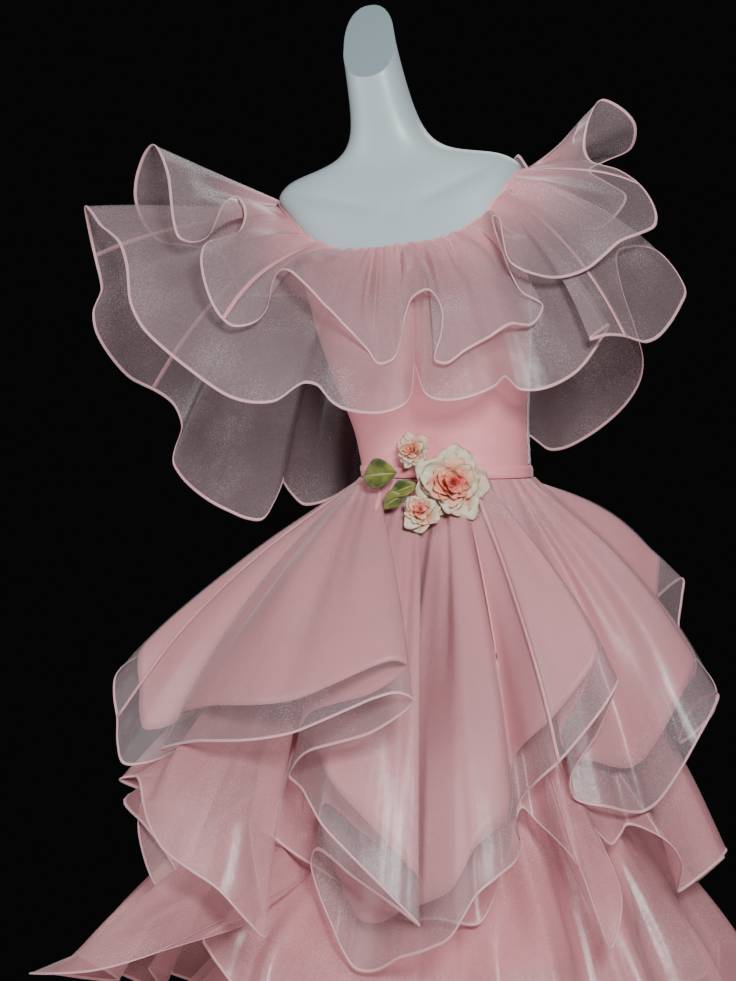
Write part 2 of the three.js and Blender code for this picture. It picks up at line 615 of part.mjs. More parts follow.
// Places a flower's own geometry, facing out from the waist and tipped up.
function placed(geometry, row, spin) {
  const holder = new THREE.Object3D();
  holder.up.set(0, 0, 1);
  holder.position.copy(polar(row.turn, row.reach, WAIST_HEIGHT + row.rise));
  const facingOut = polar(row.turn, Math.cos(rad(row.tip)), Math.sin(rad(row.tip)));
  holder.lookAt(holder.position.clone().add(facingOut));
  holder.rotateZ(rad(spin));
  holder.updateMatrix();
  return geometry.applyMatrix4(holder.matrix);
}

// The solid that the spray is seated on: the waistband and the bodice, each grown by a gap.
function waistSolid() {
  const onBodice = FORM_CLEAR + CLOTH + SEAM_GAP;
  const onBand = onBodice + 2 * CLOTH + SEAM_GAP;
  const bandTop = WAISTBAND_TALL + SEAM_GAP;
  const above = FORM.map((row) => row.rise).filter((rise) => rise > bandTop && rise < SPRAY_TOP);
  const ring = (rise, clear) => around(FORM_SIDES, -180, (turn) => onForm(turn, rise, clear));
  return toSolid(loft([
    ring(-WAIST_SEAM_DROP, onBand), ring(bandTop, onBand), ring(bandTop + SEAM_GAP, onBodice),
    ...above.map((rise) => ring(rise, onBodice)),
  ]));
}

// Each rose and leaf is cut back to clear the cloth and the flowers before it.
function makeSpray(first) {
  const grownFlounce = wall(first, CLOTH / 2 + SEAM_GAP, CLOTH / 2 + SEAM_GAP, true);
  let taken = toSolid(grownFlounce).add(waistSolid());
  const seat = (name, geometry, grown, look) => {
    const kept = toSolid(geometry).subtract(taken).decompose()
      .sort((a, b) => b.volume() - a.volume())[0];
    add(name, fromSolid(kept), look);
    taken = taken.add(toSolid(grown));
  };
  for (const row of ROSES) {
    const ring = (level, extra) => around(ROSE_SIDES, 0, (turn) => {
      const lobe = 1 + PETAL_LOBE * Math.cos(rad(PETALS * turn));
      const grow = level.up > 0.5 ? extra : -extra;
      return polar(turn, (row.radius * level.out + extra) * lobe, row.deep * level.up + grow);
    });
    const shape = (extra) => placed(loft(ROSE_PROFILE.map((level) => ring(level, extra))), row, 0);
    seat(row.name, shape(0), shape(SEAM_GAP), "petal");
  }
  for (const row of LEAVES) {
    const grid = Array.from({ length: LEAF_STEPS + 1 }, (_, i) => {
      const along = i / LEAF_STEPS;
      const full = Math.max(Math.sin(Math.PI * along) ** LEAF_ROUND, LEAF_TIP_WIDE);
      const half = (row.wide / 2) * full;
      return [-1, 0, 1].map((side) => new THREE.Vector3(
        side * half, -row.long * along, Math.abs(side) * half * LEAF_FOLD));
    });
    const shape = (extra) => placed(wall(grid, extra, CLOTH + extra, false), row, row.points + 180);
    seat(row.name, shape(0), shape(SEAM_GAP), "leaf");
  }
}

makeForm();
makeBodice();
const firstSheet = makeSkirt();
makeRuffles();
makeSpray(firstSheet);

export default gown;
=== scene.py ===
# A ball gown of sheer organza flounces over satin, standing on a limbless dress form.
# Sizes are in millimetres and go into the scene in metres. +Z is up, the gown faces -Y, and
# "turn" is the angle round the body: 0 at the front, rising towards +X.
import math

import bpy
import numpy as np
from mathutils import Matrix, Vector


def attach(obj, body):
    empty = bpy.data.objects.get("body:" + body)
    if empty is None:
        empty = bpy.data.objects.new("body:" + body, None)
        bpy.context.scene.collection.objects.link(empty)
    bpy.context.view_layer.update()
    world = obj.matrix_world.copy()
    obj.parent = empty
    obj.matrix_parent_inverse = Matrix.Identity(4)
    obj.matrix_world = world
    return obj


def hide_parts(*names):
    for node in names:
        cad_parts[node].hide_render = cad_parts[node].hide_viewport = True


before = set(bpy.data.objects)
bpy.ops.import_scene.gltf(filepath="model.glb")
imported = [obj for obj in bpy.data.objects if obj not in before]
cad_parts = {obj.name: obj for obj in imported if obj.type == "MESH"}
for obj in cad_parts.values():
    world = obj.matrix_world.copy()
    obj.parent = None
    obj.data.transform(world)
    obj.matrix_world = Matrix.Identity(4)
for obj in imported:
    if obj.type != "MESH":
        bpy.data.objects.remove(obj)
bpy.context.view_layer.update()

MM = 0.001

# The body and the stand
WAIST_HEIGHT = 1080
OVAL = 2.3
LEAN = 0.10
LEAN_MORE = 0.00017
LEAN_END = 430
NECK_LEAN = 0.16
SHOULDER_TILT = 0.105
TILT_START = 150
NECK_CUT_SLOPE = 1.75           # how fast the cut at the neck rises for each step back
NECK_TOP = 609
NECK_BASE = 500                # rise above which the neck meets its slanted cut
NECK_SPARE = 90                # how far the neck is measured above its cut
FORM_COLUMNS = 192
FORM_STEPS = 460               # rises at which the form is measured
FORM_ROWS = 190                # rows that it is then divided into
FORM_SOFTEN = 22               # times that the shoulders and neck are smoothed
SOFT_RISES = (418, 436)        # between these rises the smoothing sets in
BONE_TAPER = 0.3               # share of a hollow's length in which each end dies away
CHEST_FRONT = (14, 44)         # the chest's relief sets in between these places off the middle
CUT_BEVEL = 0.03
CUT_RAISED = 0.4
CRISP_ANGLE = 24
POLE_RADIUS = 14
BASE_RADIUS = 170
BASE_THICK = 10
STAND_GAP = 0.3
ROUND_SIDES = 96

# The cloth
FORM_CLEAR = 0.6
SATIN_THICK = 0.8
SHEER_THICK = 0.4
HEM_CLEAR = 20                 # the lowest hem over the floor
COARSE = 2                     # columns for each row of a hem's table, before they are refined
FINE_ALONG = 6                 # columns for each coarse one
FINE_DOWN = 8                  # rows for each coarse one
FOLD_EASE = 1.1                # above 1 a fold sets in more softly
GATHER_START = (-0.1, 0.05)    # shares of the way down between which the gathers set in
GATHER_SIZE = 0.65
GATHER_SWELL = [(0.35, 11, 20)]
GATHER_WANDER = [(2.8, 3, 40), (1.8, 7, 110)]
BINDING_WIDE = 4.6
BINDING_THICK = 1.8
BINDING_IN = 0.35              # how far the binding's middle lies inside the hem
BINDING_SIDES = 8
JOIN_WIDE = 6
JOIN_OUT = 0.5
GATHERED_LONG = 0.13           # metres below a seam in which the gathered cloth is fuller
GATHERED_COLOUR = 0.85
GATHERED_ALPHA = 0.38
VEIN_COLOUR = (0.42, 0.44, 0.16)
METRES_A_DEGREE = 0.0022       # of the bodice's cloth

# The skirt
WAIST_SEAM_DROP = 1.4
UNDERSKIRT_ROUND = 430         # drop below which the underskirt is round
UNDERSKIRT_DROP = 1060
UNDERSKIRT_CLEAR = 0.4
UNDERSKIRT_IN = 9
UNDERSKIRT_WAVES = [(7, 9, 20), (4, 17, 70)]
UNDERSKIRT_COLUMNS = 240
UNDERSKIRT_ROWS = 90
FIRST_SEAM_CLEAR = 5.8
FIRST_SWELL = 0.11
FIRST_STANDOFF = 22
TIER_CLEAR = 2.8
TIER_STANDOFF = 6
TIER_SWELL = 0.08
TIER_STEPS = 3                 # coarse rows of a tier under its seam
OVER_SWELL = 2.4               # times the swell where a tier falls outside the one above
FLOOR_SWELL = 0.05
NEST_CLEAR = 14
FIELD_TURN = 4
FIELD_TALL = 20
FIELD_STEPS = 5
FIELDS_TALL = 80
FLOOR_WAVES = 17
FLOOR_REACH = 560
FLOOR_WAVE_DEEP = 42
FLOOR_FULLER = 40
FULLER_TURN = -50
HEM_STEP = 64                  # the lining's hem above the flounce's
LINING_GAP = 1.8
LEAST_KEPT = 0.35              # share of the flounce's length that the lining keeps at least

# The neckline
COLLAR_CENTRE = -60
CASING_BELOW = 9
CASING_ABOVE = 6
WAISTBAND_TALL = 15
BAND_ROWS = 16
BAND_PLEAT = 0.28
BAND_PLEATS = 3                # half waves of the creases across the band
BAND_WANDER = [(1.6, 2, 30)]
BAND_WAVE = 0.3
BAND_BELLY = 1.0
BAND_CLEAR = 2.6
BAND_INSIDE = 1.6
BAND_OUTSIDE = 0.6
NECK_GATHERS = 46
NECK_COLUMNS = 900
NECK_ROWS = 14
EDGE_WAVE = 2.2                # how uneven the gathered top edge is
EDGE_FINE = 0.6
CASING_WAVE = 1.1
CASING_FINE = 0.3
CASING_FULL = 1.2
CASING_CLEAR = 1.0
BODICE_BELOW = 1.4             # the bodice's top edge under the neckline's strip
PANEL_APART = 0.12             # degrees from a panel's edge to the middle of its seam
PANEL_STEP = 1.2               # degrees
PANEL_ROWS = 60
PANEL_CLEAR = 0.5
PANEL_FLARE = 1.2              # how far a panel's top edge stands off
PANEL_PUCKERS = (0.9, 0.62, 0.8, 0.13)
SIDE_SEAM = 88                 # the turn at which the side seam's puckers are deepest
SIDE_SEAM_WIDE = 2.0
SIDE_STRIP_TOP = 248
SIDE_STRIP_TURN = 2.6          # degrees from the strip's middle to its edge
SIDE_STRIP_STEP = 1.6
SIDE_STRIP_CLEAR = 1.9
STRIP_PUCKERS = (0.8, 0.55, 1.2, 0.11)
RUFFLE_SWELL = 0.1
RUFFLE_STEPS = 4

# The spray
PETAL_STEPS = 12
PETAL_COLUMNS = 11
PETAL_OPENS = 0.9              # share of its steepness that a petal loses towards its rim
PETAL_CURL = 34                # degrees by which the rim curls back
PETAL_OUTLINE = (0.16, 0.66)
PETAL_BLUNT = 0.25
PETAL_RIPPLE = 4.2
PETAL_FINE_RIPPLE = 9.5
PETAL_OVERLAP = 0.6
PETAL_HALF_THICK = 0.15
HEART_PETALS = 4               # in the innermost ring, with one more in each ring round it
RING_START = 0.6
RING_APART = 0.05              # the rings' sizes are shares of the flower's radius: a start and
RING_LENGTH = (0.26, 0.78)     # how much it grows out to the outer ring
RING_WIDE = (0.26, 0.34)
RING_CUP = (0.20, -0.16)
RING_WAVE = (0.05, 0.05)
RING_HIGH = (0.10, 0.34)
RING_OPEN = (84, -66)
RING_COLOUR = (0.10, 0.78)
ANGLE_JITTER = 14
OPEN_JITTER = 9
LENGTH_JITTER = 0.10
LEAF_STEPS = 25
LEAF_COLUMNS = 13
LEAF_OUTLINE = (0.03, 0.96)
LEAF_FOLD = 0.45
LEAF_WAVE = 1.4
LEAF_ARCH = 5
LEAF_DROP = 3
LEAF_CLEAR = 3
LEAF_HALF_THICK = 0.3

# The camera
CAMERA_AZIMUTH = 15.0
CAMERA_AWAY = 3.0
CAMERA_RISE = 0.12
CAMERA_LENS = 77.064
CAMERA_SENSOR = 36
CAMERA_YAW = 2.1561
CAMERA_PITCH = -2.6878

# The room, in metres and watts: each light's place, the height it faces, its size and power
FLOOR_RADIUS = 1.1
FLOOR_THICK = 0.02
FLOOR_BELOW = 0.0005
ROOM_COLOUR = (0.0032, 0.0032, 0.0036, 1)
LIGHTS = [
  ("key light", (1.5, -3.0, 2.3), 1.15, 0.9, 150),
  ("fill light", (-2.4, -2.2, 1.5), 1.1, 2.0, 55),
  ("top light", (0.2, 1.6, 3.0), 1.2, 1.6, 25),
]
SHEER_LAYERS = 32              # sheer layers that light passes, one behind another


def table(columns, rows):
    """Rows of a table as dictionaries."""
    return [dict(zip(columns, row)) for row in rows]


FORM = table(["rise", "across", "deep", "forward"], [
  [-200, 165, 112, 0], [-120, 160, 112, 0], [-60, 138, 100, 0], [0, 119, 88, 0],
  [60, 122, 90, 2], [110, 130, 98, 6], [160, 140, 111, 10], [215, 150, 119, 12],
  [270, 157, 111, 10], [320, 163, 97, 6], [360, 170, 86, 3], [395, 176, 76, 2],
  [418, 178, 66, 2], [432, 171, 58, 3], [441, 150, 52, 4], [447, 118, 50, 6],
  [455, 86, 49, 9], [466, 66, 46, 13], [482, 54, 43, 17], [505, 47, 41, 23],
  [540, 42, 38, 32], [608, 37, 35, 45],
])

NECKLINE = table(["turn", "rise"], [
  [0, 317], [30, 318], [50, 330], [65, 354], [76, 386], [86, 406], [96, 408],
  [108, 394], [125, 364], [150, 342], [180, 334],
])

BODICE_TOP = table(["turn", "below"], [
  [0, 0], [54, 0], [63, 20], [72, 62], [81, 112], [90, 142],
  [99, 137], [108, 96], [117, 44], [126, 10], [135, 0], [180, 0],
])

UNDERSKIRT = table(["drop", "reach"], [
  [0, 119], [60, 141], [120, 168], [180, 186], [430, 240], [640, 276], [1060, 345],
])

FLOUNCE_1 = table(["turn", "reach", "height", "seam"], [
  [-180, 400, 760, -180], [-170, 335, 745], [-160, 410, 765], [-150, 345, 750],
  [-140, 415, 760], [-130, 355, 745], [-120, 430, 780, -120], [-110, 360, 765],
  [-100, 452, 800], [-90, 375, 785, -102], [-82, 440, 815], [-75, 478, 790, -93],
  [-71, 472, 735], [-66, 462, 677, -88], [-61, 398, 694], [-57, 358, 730, -82],
  [-52, 405, 712], [-48, 432, 718, -77], [-34, 435, 744], [-22, 440, 756], [-11, 440, 774],
  [-1, 425, 808], [6, 408, 826], [9, 398, 816, -47], [6, 390, 794], [0, 390, 769],
  [-13, 376, 740], [-20, 350, 710, -35], [-23, 336, 694, -30], [-18, 346, 683],
  [-10, 375, 646], [2.4, 386, 579], [10, 384, 528, -8], [6, 364, 540], [-6, 348, 580],
  [-15, 336, 604, -4], [-18, 326, 578], [-13, 318, 500, 1], [-7, 320, 450], [-1, 330, 452],
  [5, 358, 477, 8], [15.6, 428, 525, 15], [20, 430, 579], [27, 410, 614],
  [29.5, 375, 630, 24], [30.5, 332, 642], [32, 328, 676, 28], [37, 380, 732],
  [44, 400, 795], [47.5, 400, 826, 42], [51, 375, 828], [52, 325, 750],
  [48, 300, 694, 48], [49, 304, 665, 51], [55, 328, 655], [65, 340, 642, 62],
  [67, 362, 662], [72, 400, 745], [81, 402, 791, 80], [90, 352, 762], [98, 332, 705, 95],
  [105, 378, 738], [112, 392, 775, 108], [117, 348, 850], [121, 362, 925],
  [128, 322, 870, 128], [136, 378, 800], [146, 325, 770], [156, 400, 765], [168, 330, 750],
])

FLOUNCE_2 = table(["turn", "reach", "height", "seam", "over"], [
  [-180, 400, 500, -180], [-168, 350, 485], [-156, 420, 510], [-144, 355, 490],
  [-132, 430, 520], [-120, 360, 500, -120], [-108, 445, 540], [-96, 375, 520],
  [-84, 445, 590, -90], [-77, 405, 600], [-70, 468, 648], [-64, 480, 655, -80],
  [-56, 440, 604], [-48, 412, 550, -76], [-46, 418, 515], [-52, 434, 530],
  [-58, 446, 600, -70], [-57, 438, 655], [-50, 464, 682], [-45, 472, 681, -66],
  [-38, 490, 645, None, 1], [-31, 500, 612, None, 1], [-20, 497, 578, None, 1],
  [-15, 455, 514, -54, 1], [-20, 415, 552, None, 1],
  [-29, 372, 640, -49, 1], [-33, 322, 610, -42], [-18, 300, 560], [-4, 302, 525, -6],
  [5, 318, 512], [13, 322, 522], [22, 340, 520], [29, 305, 580, 26], [34, 318, 660],
  [40, 395, 600], [44, 428, 500, 40], [49, 400, 560], [53, 318, 625, 50], [59, 316, 600],
  [65, 352, 622, 62], [70, 382, 575], [79, 352, 520], [88, 400, 560], [98, 358, 510],
  [108, 405, 540, 108], [118, 358, 500], [128, 385, 494], [134, 382, 452],
  [143, 352, 470], [153, 400, 500], [163, 350, 480], [172, 385, 495],
])

FLOUNCE_3 = table(["turn", "reach", "height", "seam"], [
  [-180, 480, 250, -180], [-167, 450, 235], [-154, 495, 260], [-141, 432, 240],
  [-128, 505, 270], [-115, 438, 250], [-102, 520, 300, -102], [-91, 445, 295],
  [-80, 545, 370], [-69, 470, 360, -72], [-58, 560, 400], [-49, 602, 430],
  [-41, 640, 455, -50], [-30, 618, 482], [-25, 560, 503], [-24, 495, 520, -36],
  [-31, 430, 470], [-26, 405, 410, -26], [-16, 450, 380], [-8, 395, 350], [0, 440, 360, 0],
  [9, 392, 330], [18, 440, 350], [26, 398, 330], [35, 460, 370], [45, 400, 340],
  [54, 450, 370, 54], [64, 400, 340], [75, 460, 355], [87, 410, 320], [99, 470, 335],
  [112, 412, 310, 112], [126, 440, 372], [134, 455, 300], [146, 418, 272], [158, 470, 262],
  [169, 448, 240],
])

RUFFLE_UPPER = table(["turn", "reach", "height", "seam"], [
  [-180, 200, 1300, -180], [-165, 235, 1290], [-150, 215, 1310], [-137, 262, 1310],
  [-125, 245, 1345], [-112, 315, 1350, -122], [-103, 325, 1410], [-92, 388, 1425],
  [-83, 402, 1480], [-79, 388, 1528, -100], [-73, 362, 1552, -94], [-66, 340, 1505],
  [-60, 338, 1460], [-56, 332, 1414, -80], [-58, 308, 1408], [-63, 282, 1422],
  [-70, 262, 1466], [-70.5, 244, 1478, -73], [-64, 232, 1452], [-56, 250, 1420],
  [-50.5, 300, 1405], [-48, 313, 1378, -64], [-44, 305, 1320], [-40, 286, 1290],
  [-37, 256, 1296], [-39.5, 230, 1322, -50], [-41, 222, 1345], [-36, 222, 1364],
  [-27, 228, 1362, -38], [-16, 224, 1326], [-5, 212, 1282], [1, 200, 1256],
  [5, 200, 1238, -8], [11, 200, 1244], [14, 180, 1280, 2], [18, 176, 1325],
  [25, 196, 1336, 14], [29, 212, 1306], [28, 214, 1270, 19], [26, 217, 1243],
  [30, 224, 1238], [35, 230, 1253, 30], [44, 232, 1272], [52, 240, 1291],
  [59, 246, 1290, 50], [65, 244, 1318], [59, 228, 1335, 54], [54, 210, 1390],
  [51, 202, 1436, 59], [51, 218, 1432], [52, 234, 1376, 63], [59, 254, 1357],
  [67, 267, 1354, 70], [75, 290, 1369], [82, 319, 1405], [90, 355, 1428, 82],
  [94, 352, 1456], [96, 330, 1490], [97, 298, 1512], [98, 262, 1524, 92],
  [101, 252, 1552], [102, 274, 1612, 97], [106, 322, 1585], [112, 322, 1548],
  [116, 268, 1520, 108], [120, 330, 1486], [128, 300, 1440], [135, 235, 1490, 128],
  [141, 200, 1550], [147, 205, 1500], [154, 240, 1400], [167, 205, 1320],
])

RUFFLE_LOWER = table(["turn", "reach", "height", "seam"], [
  [-180, 215, 1085, -180], [-168, 240, 1095], [-157, 205, 1060], [-146, 230, 1045],
  [-136, 188, 1052, -146], [-126, 190, 1038], [-119, 222, 1030], [-112, 236, 1064],
  [-106, 218, 1068, -126], [-101, 242, 1010], [-95, 282, 1022], [-90, 328, 1055],
  [-87, 354, 1095, -113], [-88, 352, 1120], [-91, 350, 1148], [-91.5, 365, 1182],
  [-90, 394, 1204, -106], [-87.5, 424, 1222], [-83, 461, 1284], [-82, 464, 1320],
  [-82, 452, 1349, -95], [-81, 456, 1384], [-78, 467, 1468, -86], [-73, 438, 1438],
  [-69, 410, 1413, -78], [-64, 398, 1371], [-61, 396, 1328], [-57, 384, 1292],
  [-54, 366, 1268, -62], [-47, 332, 1230], [-39, 299, 1196], [-33, 279, 1186],
  [-28, 254, 1188, -38], [-25, 236, 1203], [-22, 226, 1212], [-15.5, 227, 1208, -24],
  [-10, 233, 1189], [-5, 229, 1177], [7, 222, 1172, -2], [15.6, 214, 1184],
  [18, 200, 1200], [19.5, 172, 1238, 14], [21, 196, 1218], [23, 212, 1197],
  [28, 221, 1189], [36, 231, 1192, 32], [46, 238, 1208], [51, 232, 1220, 46],
  [55, 240, 1204], [61.5, 262, 1205], [70, 284, 1227, 62], [76, 296, 1258],
  [80, 304, 1284, 68], [76, 316, 1290], [69, 308, 1270, 71], [73, 320, 1276],
  [79, 334, 1275], [84, 352, 1268], [88.5, 367, 1279, 80], [97, 390, 1325],
  [99.5, 394, 1345, 90], [101, 352, 1400], [104, 300, 1398, 98], [108, 325, 1300],
  [111, 342, 1250], [115, 342, 1212, 112], [122, 320, 1166], [132, 272, 1120],
  [138, 250, 1114], [142, 226, 1134, 136], [150, 245, 1095], [159, 210, 1112],
  [169, 238, 1085],
])

# The ruffles: how far off the form and below the neckline's edge each is sewn, and how far it
# lifts between its seam and its hem.
RUFFLES = table(["sheet", "piece", "hem", "clear", "below", "lift"], [
  ["ruffle_upper", "upper_ruffle", RUFFLE_UPPER, 7.5, -5, 8],
  ["ruffle_lower", "lower_ruffle", RUFFLE_LOWER, 6, 4, 4],
])

# Soft folds of each sheet: the turn at which one leaves the seam, its width in degrees, its depth
# and the shares of the way down between which it runs. A depth below 0 is a trough.
FOLDS = {
  "flounce_1": [
    (-96, 4, -12.2, 0.05, 0.9), (-88, 3, 8.1, 0.1, 0.8), (-82, 1.3, -10.8, 0, 1),
    (-79, 1.3, 10.8, 0, 1), (-74, 2.2, -5.4, 0.1, 0.8), (-66, 3, 6.8, 0, 0.7),
    (-60, 2, -5.4, 0.1, 0.95), (-53, 2, 5.4, 0.05, 0.6), (-42, 2, -6.8, 0, 0.55),
    (-36, 2, 6.8, 0.05, 0.7), (-12, 1.6, -8.1, 0.05, 0.8), (-6, 1.5, 5.4, 0, 0.6),
    (2, 1.4, -5.4, 0, 0.7), (8, 1.6, 6.8, 0.05, 0.8), (14, 1.5, -5.4, 0, 0.5),
    (20, 2.2, -6.8, 0.2, 0.9), (27, 1.4, 5.4, 0, 0.6), (35, 2, 8.1, 0.05, 0.85),
    (40, 1.5, -6.8, 0, 0.6), (45, 2, -8.1, 0, 0.7), (51, 1.3, 6.8, 0, 0.75),
    (57, 2.5, 9.5, 0.05, 0.8), (64, 1.6, -6.8, 0, 0.6), (70, 3, -9.5, 0, 0.75),
    (79, 2, 6.8, 0, 0.7), (88, 3, 8.1, 0.05, 0.9), (102, 4, -12.2, 0.05, 0.8),
    (122, 5, 10.8, 0.05, 0.7), (140, 6, -12.2, 0, 0.8), (158, 5, 9.5, 0.1, 0.9),
    (-170, 6, -10.8, 0.05, 0.8), (-150, 5, 10.8, 0.1, 0.7), (-132, 6, -9.5, 0.05, 0.85),
    (-112, 4, 9.5, 0.05, 0.7),
  ],
  "flounce_2": [
    (-60, 2, -5.2, 0.1, 0.9), (-44, 2, 5.2, 0.1, 0.9), (8, 2, -6.5, 0, 0.8), (18, 2, 6.5, 0, 0.9),
    (34, 2, -5.2, 0.1, 0.9), (56, 2, 6.5, 0, 0.8), (74, 2, -6.5, 0.1, 0.9), (96, 2, 6.5, 0, 0.9),
  ],
  "flounce_3": [
    (-50, 2, 6.5, 0, 0.9), (-30, 2, -6.5, 0.1, 0.9), (-10, 2, 6.5, 0, 0.8), (16, 2, -6.5, 0, 0.9),
    (40, 2, 6.5, 0.1, 0.8), (66, 2, -6.5, 0, 0.9),
  ],
  "ruffle_upper": [
    (-112, 3, 6.8, 0, 0.6), (-88, 3, -6.8, 0, 0.7), (-62, 3, 6.8, 0, 0.6), (-45, 2.5, -6.8, 0, 0.6),
    (-28, 3, 5.1, 0, 0.5), (-13, 1.6, -10.2, 0, 0.9), (-10, 1.4, 6.8, 0, 0.8),
    (4, 1.6, -8.5, 0, 0.6), (9, 1.5, 8.5, 0, 0.6), (17, 2, -10.2, 0, 0.5), (27, 2.5, 8.5, 0, 0.7),
    (36, 2, -8.5, 0, 0.5), (46, 2.5, 6.8, 0, 0.6), (66, 3, -8.5, 0, 0.6), (80, 3, 8.5, 0, 0.7),
    (95, 3, -8.5, 0, 0.7), (106, 3, 8.5, 0, 0.6), (130, 4, -8.5, 0, 0.6), (155, 4, 8.5, 0, 0.6),
    (-150, 4, 8.5, 0, 0.6),
  ],
  "ruffle_lower": [
    (-95, 3, 6, 0.1, 0.8), (-70, 3, -7.5, 0.1, 0.8), (-50, 2.5, 6, 0, 0.8),
    (-30, 2.5, -7.5, 0.1, 0.8), (24, 2.5, 6, 0, 0.8), (42, 2.5, -7.5, 0.1, 0.8), (60, 3, 6, 0, 0.7),
    (84, 3, -7.5, 0.1, 0.8), (120, 4, 7.5, 0, 0.8), (-140, 4, -7.5, 0, 0.8),
  ],
}

# The fine gathers along each sheet's seam: how many go round it, how deep they are, and the
# share of the way down in which they die away.
GATHERS = {
  "flounce_1": (62, 1.5, 0.13),
  "flounce_2": (80, 2.2, 0.14),
  "flounce_3": (90, 2.4, 0.14),
  "flounce_4": (100, 2.4, 0.14),
  "ruffle_upper": (40, 4.6, 0.5),
  "ruffle_lower": (42, 3.0, 0.34),
}

# Where the joining seams of each sheet meet its hem: a row of the hem's table, or part of the
# way to the next.
JOINS = {
  "ruffle_upper": [22.6, 57, 4],
  "ruffle_lower": [16, 21.2, 56],
  "flounce_1": [12, 47],
  "flounce_2": [9, 34],
  "flounce_3": [14],
}

# Creases of the bodice: their place, size and depth, and how they slant.
BODICE_FOLDS = table(["turn", "rise", "wide", "tall", "deep", "slant"], [
  [-10, 22, 16, 4, 1.0, 0.3], [14, 30, 14, 4, 1.0, -0.4], [35, 18, 12, 4, 1.1, 0.2],
  [58, 40, 14, 5, 1.3, -0.8], [-38, 34, 14, 5, 1.2, 0.9], [-60, 55, 12, 6, 1.4, 1.2],
  [70, 75, 10, 7, 1.4, -1.4], [120, 30, 14, 5, 1.2, 0.5], [150, 44, 16, 5, 1.2, -0.6],
  [-120, 36, 14, 5, 1.2, -0.5], [-150, 24, 16, 5, 1.1, 0.6], [-5, 100, 2.5, 60, 0.9, 0],
])

# Low relief of the chest: each collar bone's hollow lies along z = z0 + slope x + bend x x,
# measured from x0, between two values of x. Below 0 is a trough.
BONES = table(["from", "to", "x0", "z0", "slope", "bend", "wide", "high"], [
  [-270, -56, -161, 1471, -0.205, 0, 9, -2.4], [-270, -50, -161, 1480, -0.19, 0, 20, -3.4],
  [-40, 122, 28, 1489, 0.53, 0.0014, 9, -2.4], [-46, 112, 28, 1500, 0.56, 0.001, 20, -4],
  [-78, -38, -59, 1452, 0.3, 0, 15, -2.5],
])

# Flowers and leaves: where each sits, its size, how many petals its rings have, how far it
# tips back and how it is turned.
FLOWERS = table(["name", "node", "turn", "reach", "rise", "radius", "tip", "spin", "rings"], [
  ["large_rose", "rose_large", 18, 116, -7, 54, 6, 20, 5],
  ["upper_rose", "rose_upper", -10.8, 100, 38, 27, 8, 130, 4],
  ["lower_rose", "rose_lower", 0.9, 133, -46, 31, 20, 250, 4],
])
LEAF_SHAPES = table(["name", "node", "turn", "reach", "rise", "long", "wide", "tip", "points"], [
  ["left_leaf", "leaf_1", -19, 122, 7, 58, 40, 10, 96],
  ["low_leaf", "leaf_2", -9, 137, -22, 38, 24, 16, 122],
  ["middle_leaf", "leaf_3", -3, 130, -7, 46, 22, 10, 112],
])


def rad(degrees):
    """Radians."""
    return np.deg2rad(degrees)


def smoothstep(value, low, high):
    """0 below low, 1 above high and smooth between."""
    t = np.clip((value - low) / (high - low), 0, 1)
    return t * t * (3 - 2 * t)


def read(rows, key, at, column):
    """A column of a table, read in a straight line between its rows."""
    return np.interp(at, [row[key] for row in rows], [row[column] for row in rows])


def slopes(x, y):
    """Slopes for a smooth line through points that never overshoots them."""
    step = np.diff(y) / np.diff(x)
    slope = np.zeros(len(y))
    slope[0], slope[-1] = step[0], step[-1]
    before, after = step[:-1], step[1:]
    same = before * after > 0
    both = np.where(same, before * after, 1)
    total = np.where(same, before + after, 1)
    slope[1:-1] = np.where(same, 2 * both / total, 0)
    return slope


def between(t, low, high, low_slope, high_slope):
    """A smooth step from one value to another, with the slopes that it has at both."""
    return ((1 + 2 * t) * (1 - t) ** 2 * low + t * (1 - t) ** 2 * low_slope
            + t * t * (3 - 2 * t) * high + t * t * (t - 1) * high_slope)


def smooth(rows, key, at, column):
    """A column of a table, read along a smooth line through its rows."""
    x = np.array([row[key] for row in rows], float)
    y = np.array([row[column] for row in rows], float)
    m = slopes(x, y)
    at = np.clip(at, x[0], x[-1])
    i = np.clip(np.searchsorted(x, at, side="right") - 1, 0, len(x) - 2)
    h = x[i + 1] - x[i]
    t = (at - x[i]) / h
    return between(t, y[i], y[i + 1], h * m[i], h * m[i + 1])


def polar(turn, reach, height, centre=0):
    """A point from its turn and its reach, about an upright line at x = centre."""
    turn, reach, height = np.broadcast_arrays(turn, reach, height)
    return np.stack([centre + reach * np.sin(rad(turn)), -reach * np.cos(rad(turn)), height], -1)


def on_form(turn, rise, clear):
    """A point just off the form's skin: the sections are ovals that lean and tilt."""
    turn, rise, clear = np.broadcast_arrays(turn, rise, clear)
    across = smooth(FORM, "rise", rise, "across")
    deep = smooth(FORM, "rise", rise, "deep")
    forward = smooth(FORM, "rise", rise, "forward")
    side, front = np.sin(rad(turn)), np.cos(rad(turn))
    oval = np.abs(side / across) ** OVAL + np.abs(front / deep) ** OVAL
    reach = oval ** (-1 / OVAL) + clear
    above = np.clip(rise, 0, LEAN_END)
    neck = np.maximum(rise - LEAN_END, 0)
    lean = -(LEAN * above + LEAN_MORE * above * above + NECK_LEAN * neck)
    tilt = SHOULDER_TILT * smoothstep(rise, 0, TILT_START)
    height = WAIST_HEIGHT + rise + tilt * reach * side
    return np.stack([lean + reach * side, -forward - reach * front, height], -1)


def neck_rise(turn):
    """The rise of the gown's top edge."""
    wrapped = (np.asarray(turn) + 180) % 360 - 180
    return smooth(NECKLINE, "turn", np.abs(wrapped), "rise")


def waves(rows, turn):
    """Waves round the body, each with its size, its count and where it starts."""
    return sum(size * np.sin(rad(count * turn + start)) for size, count, start in rows)


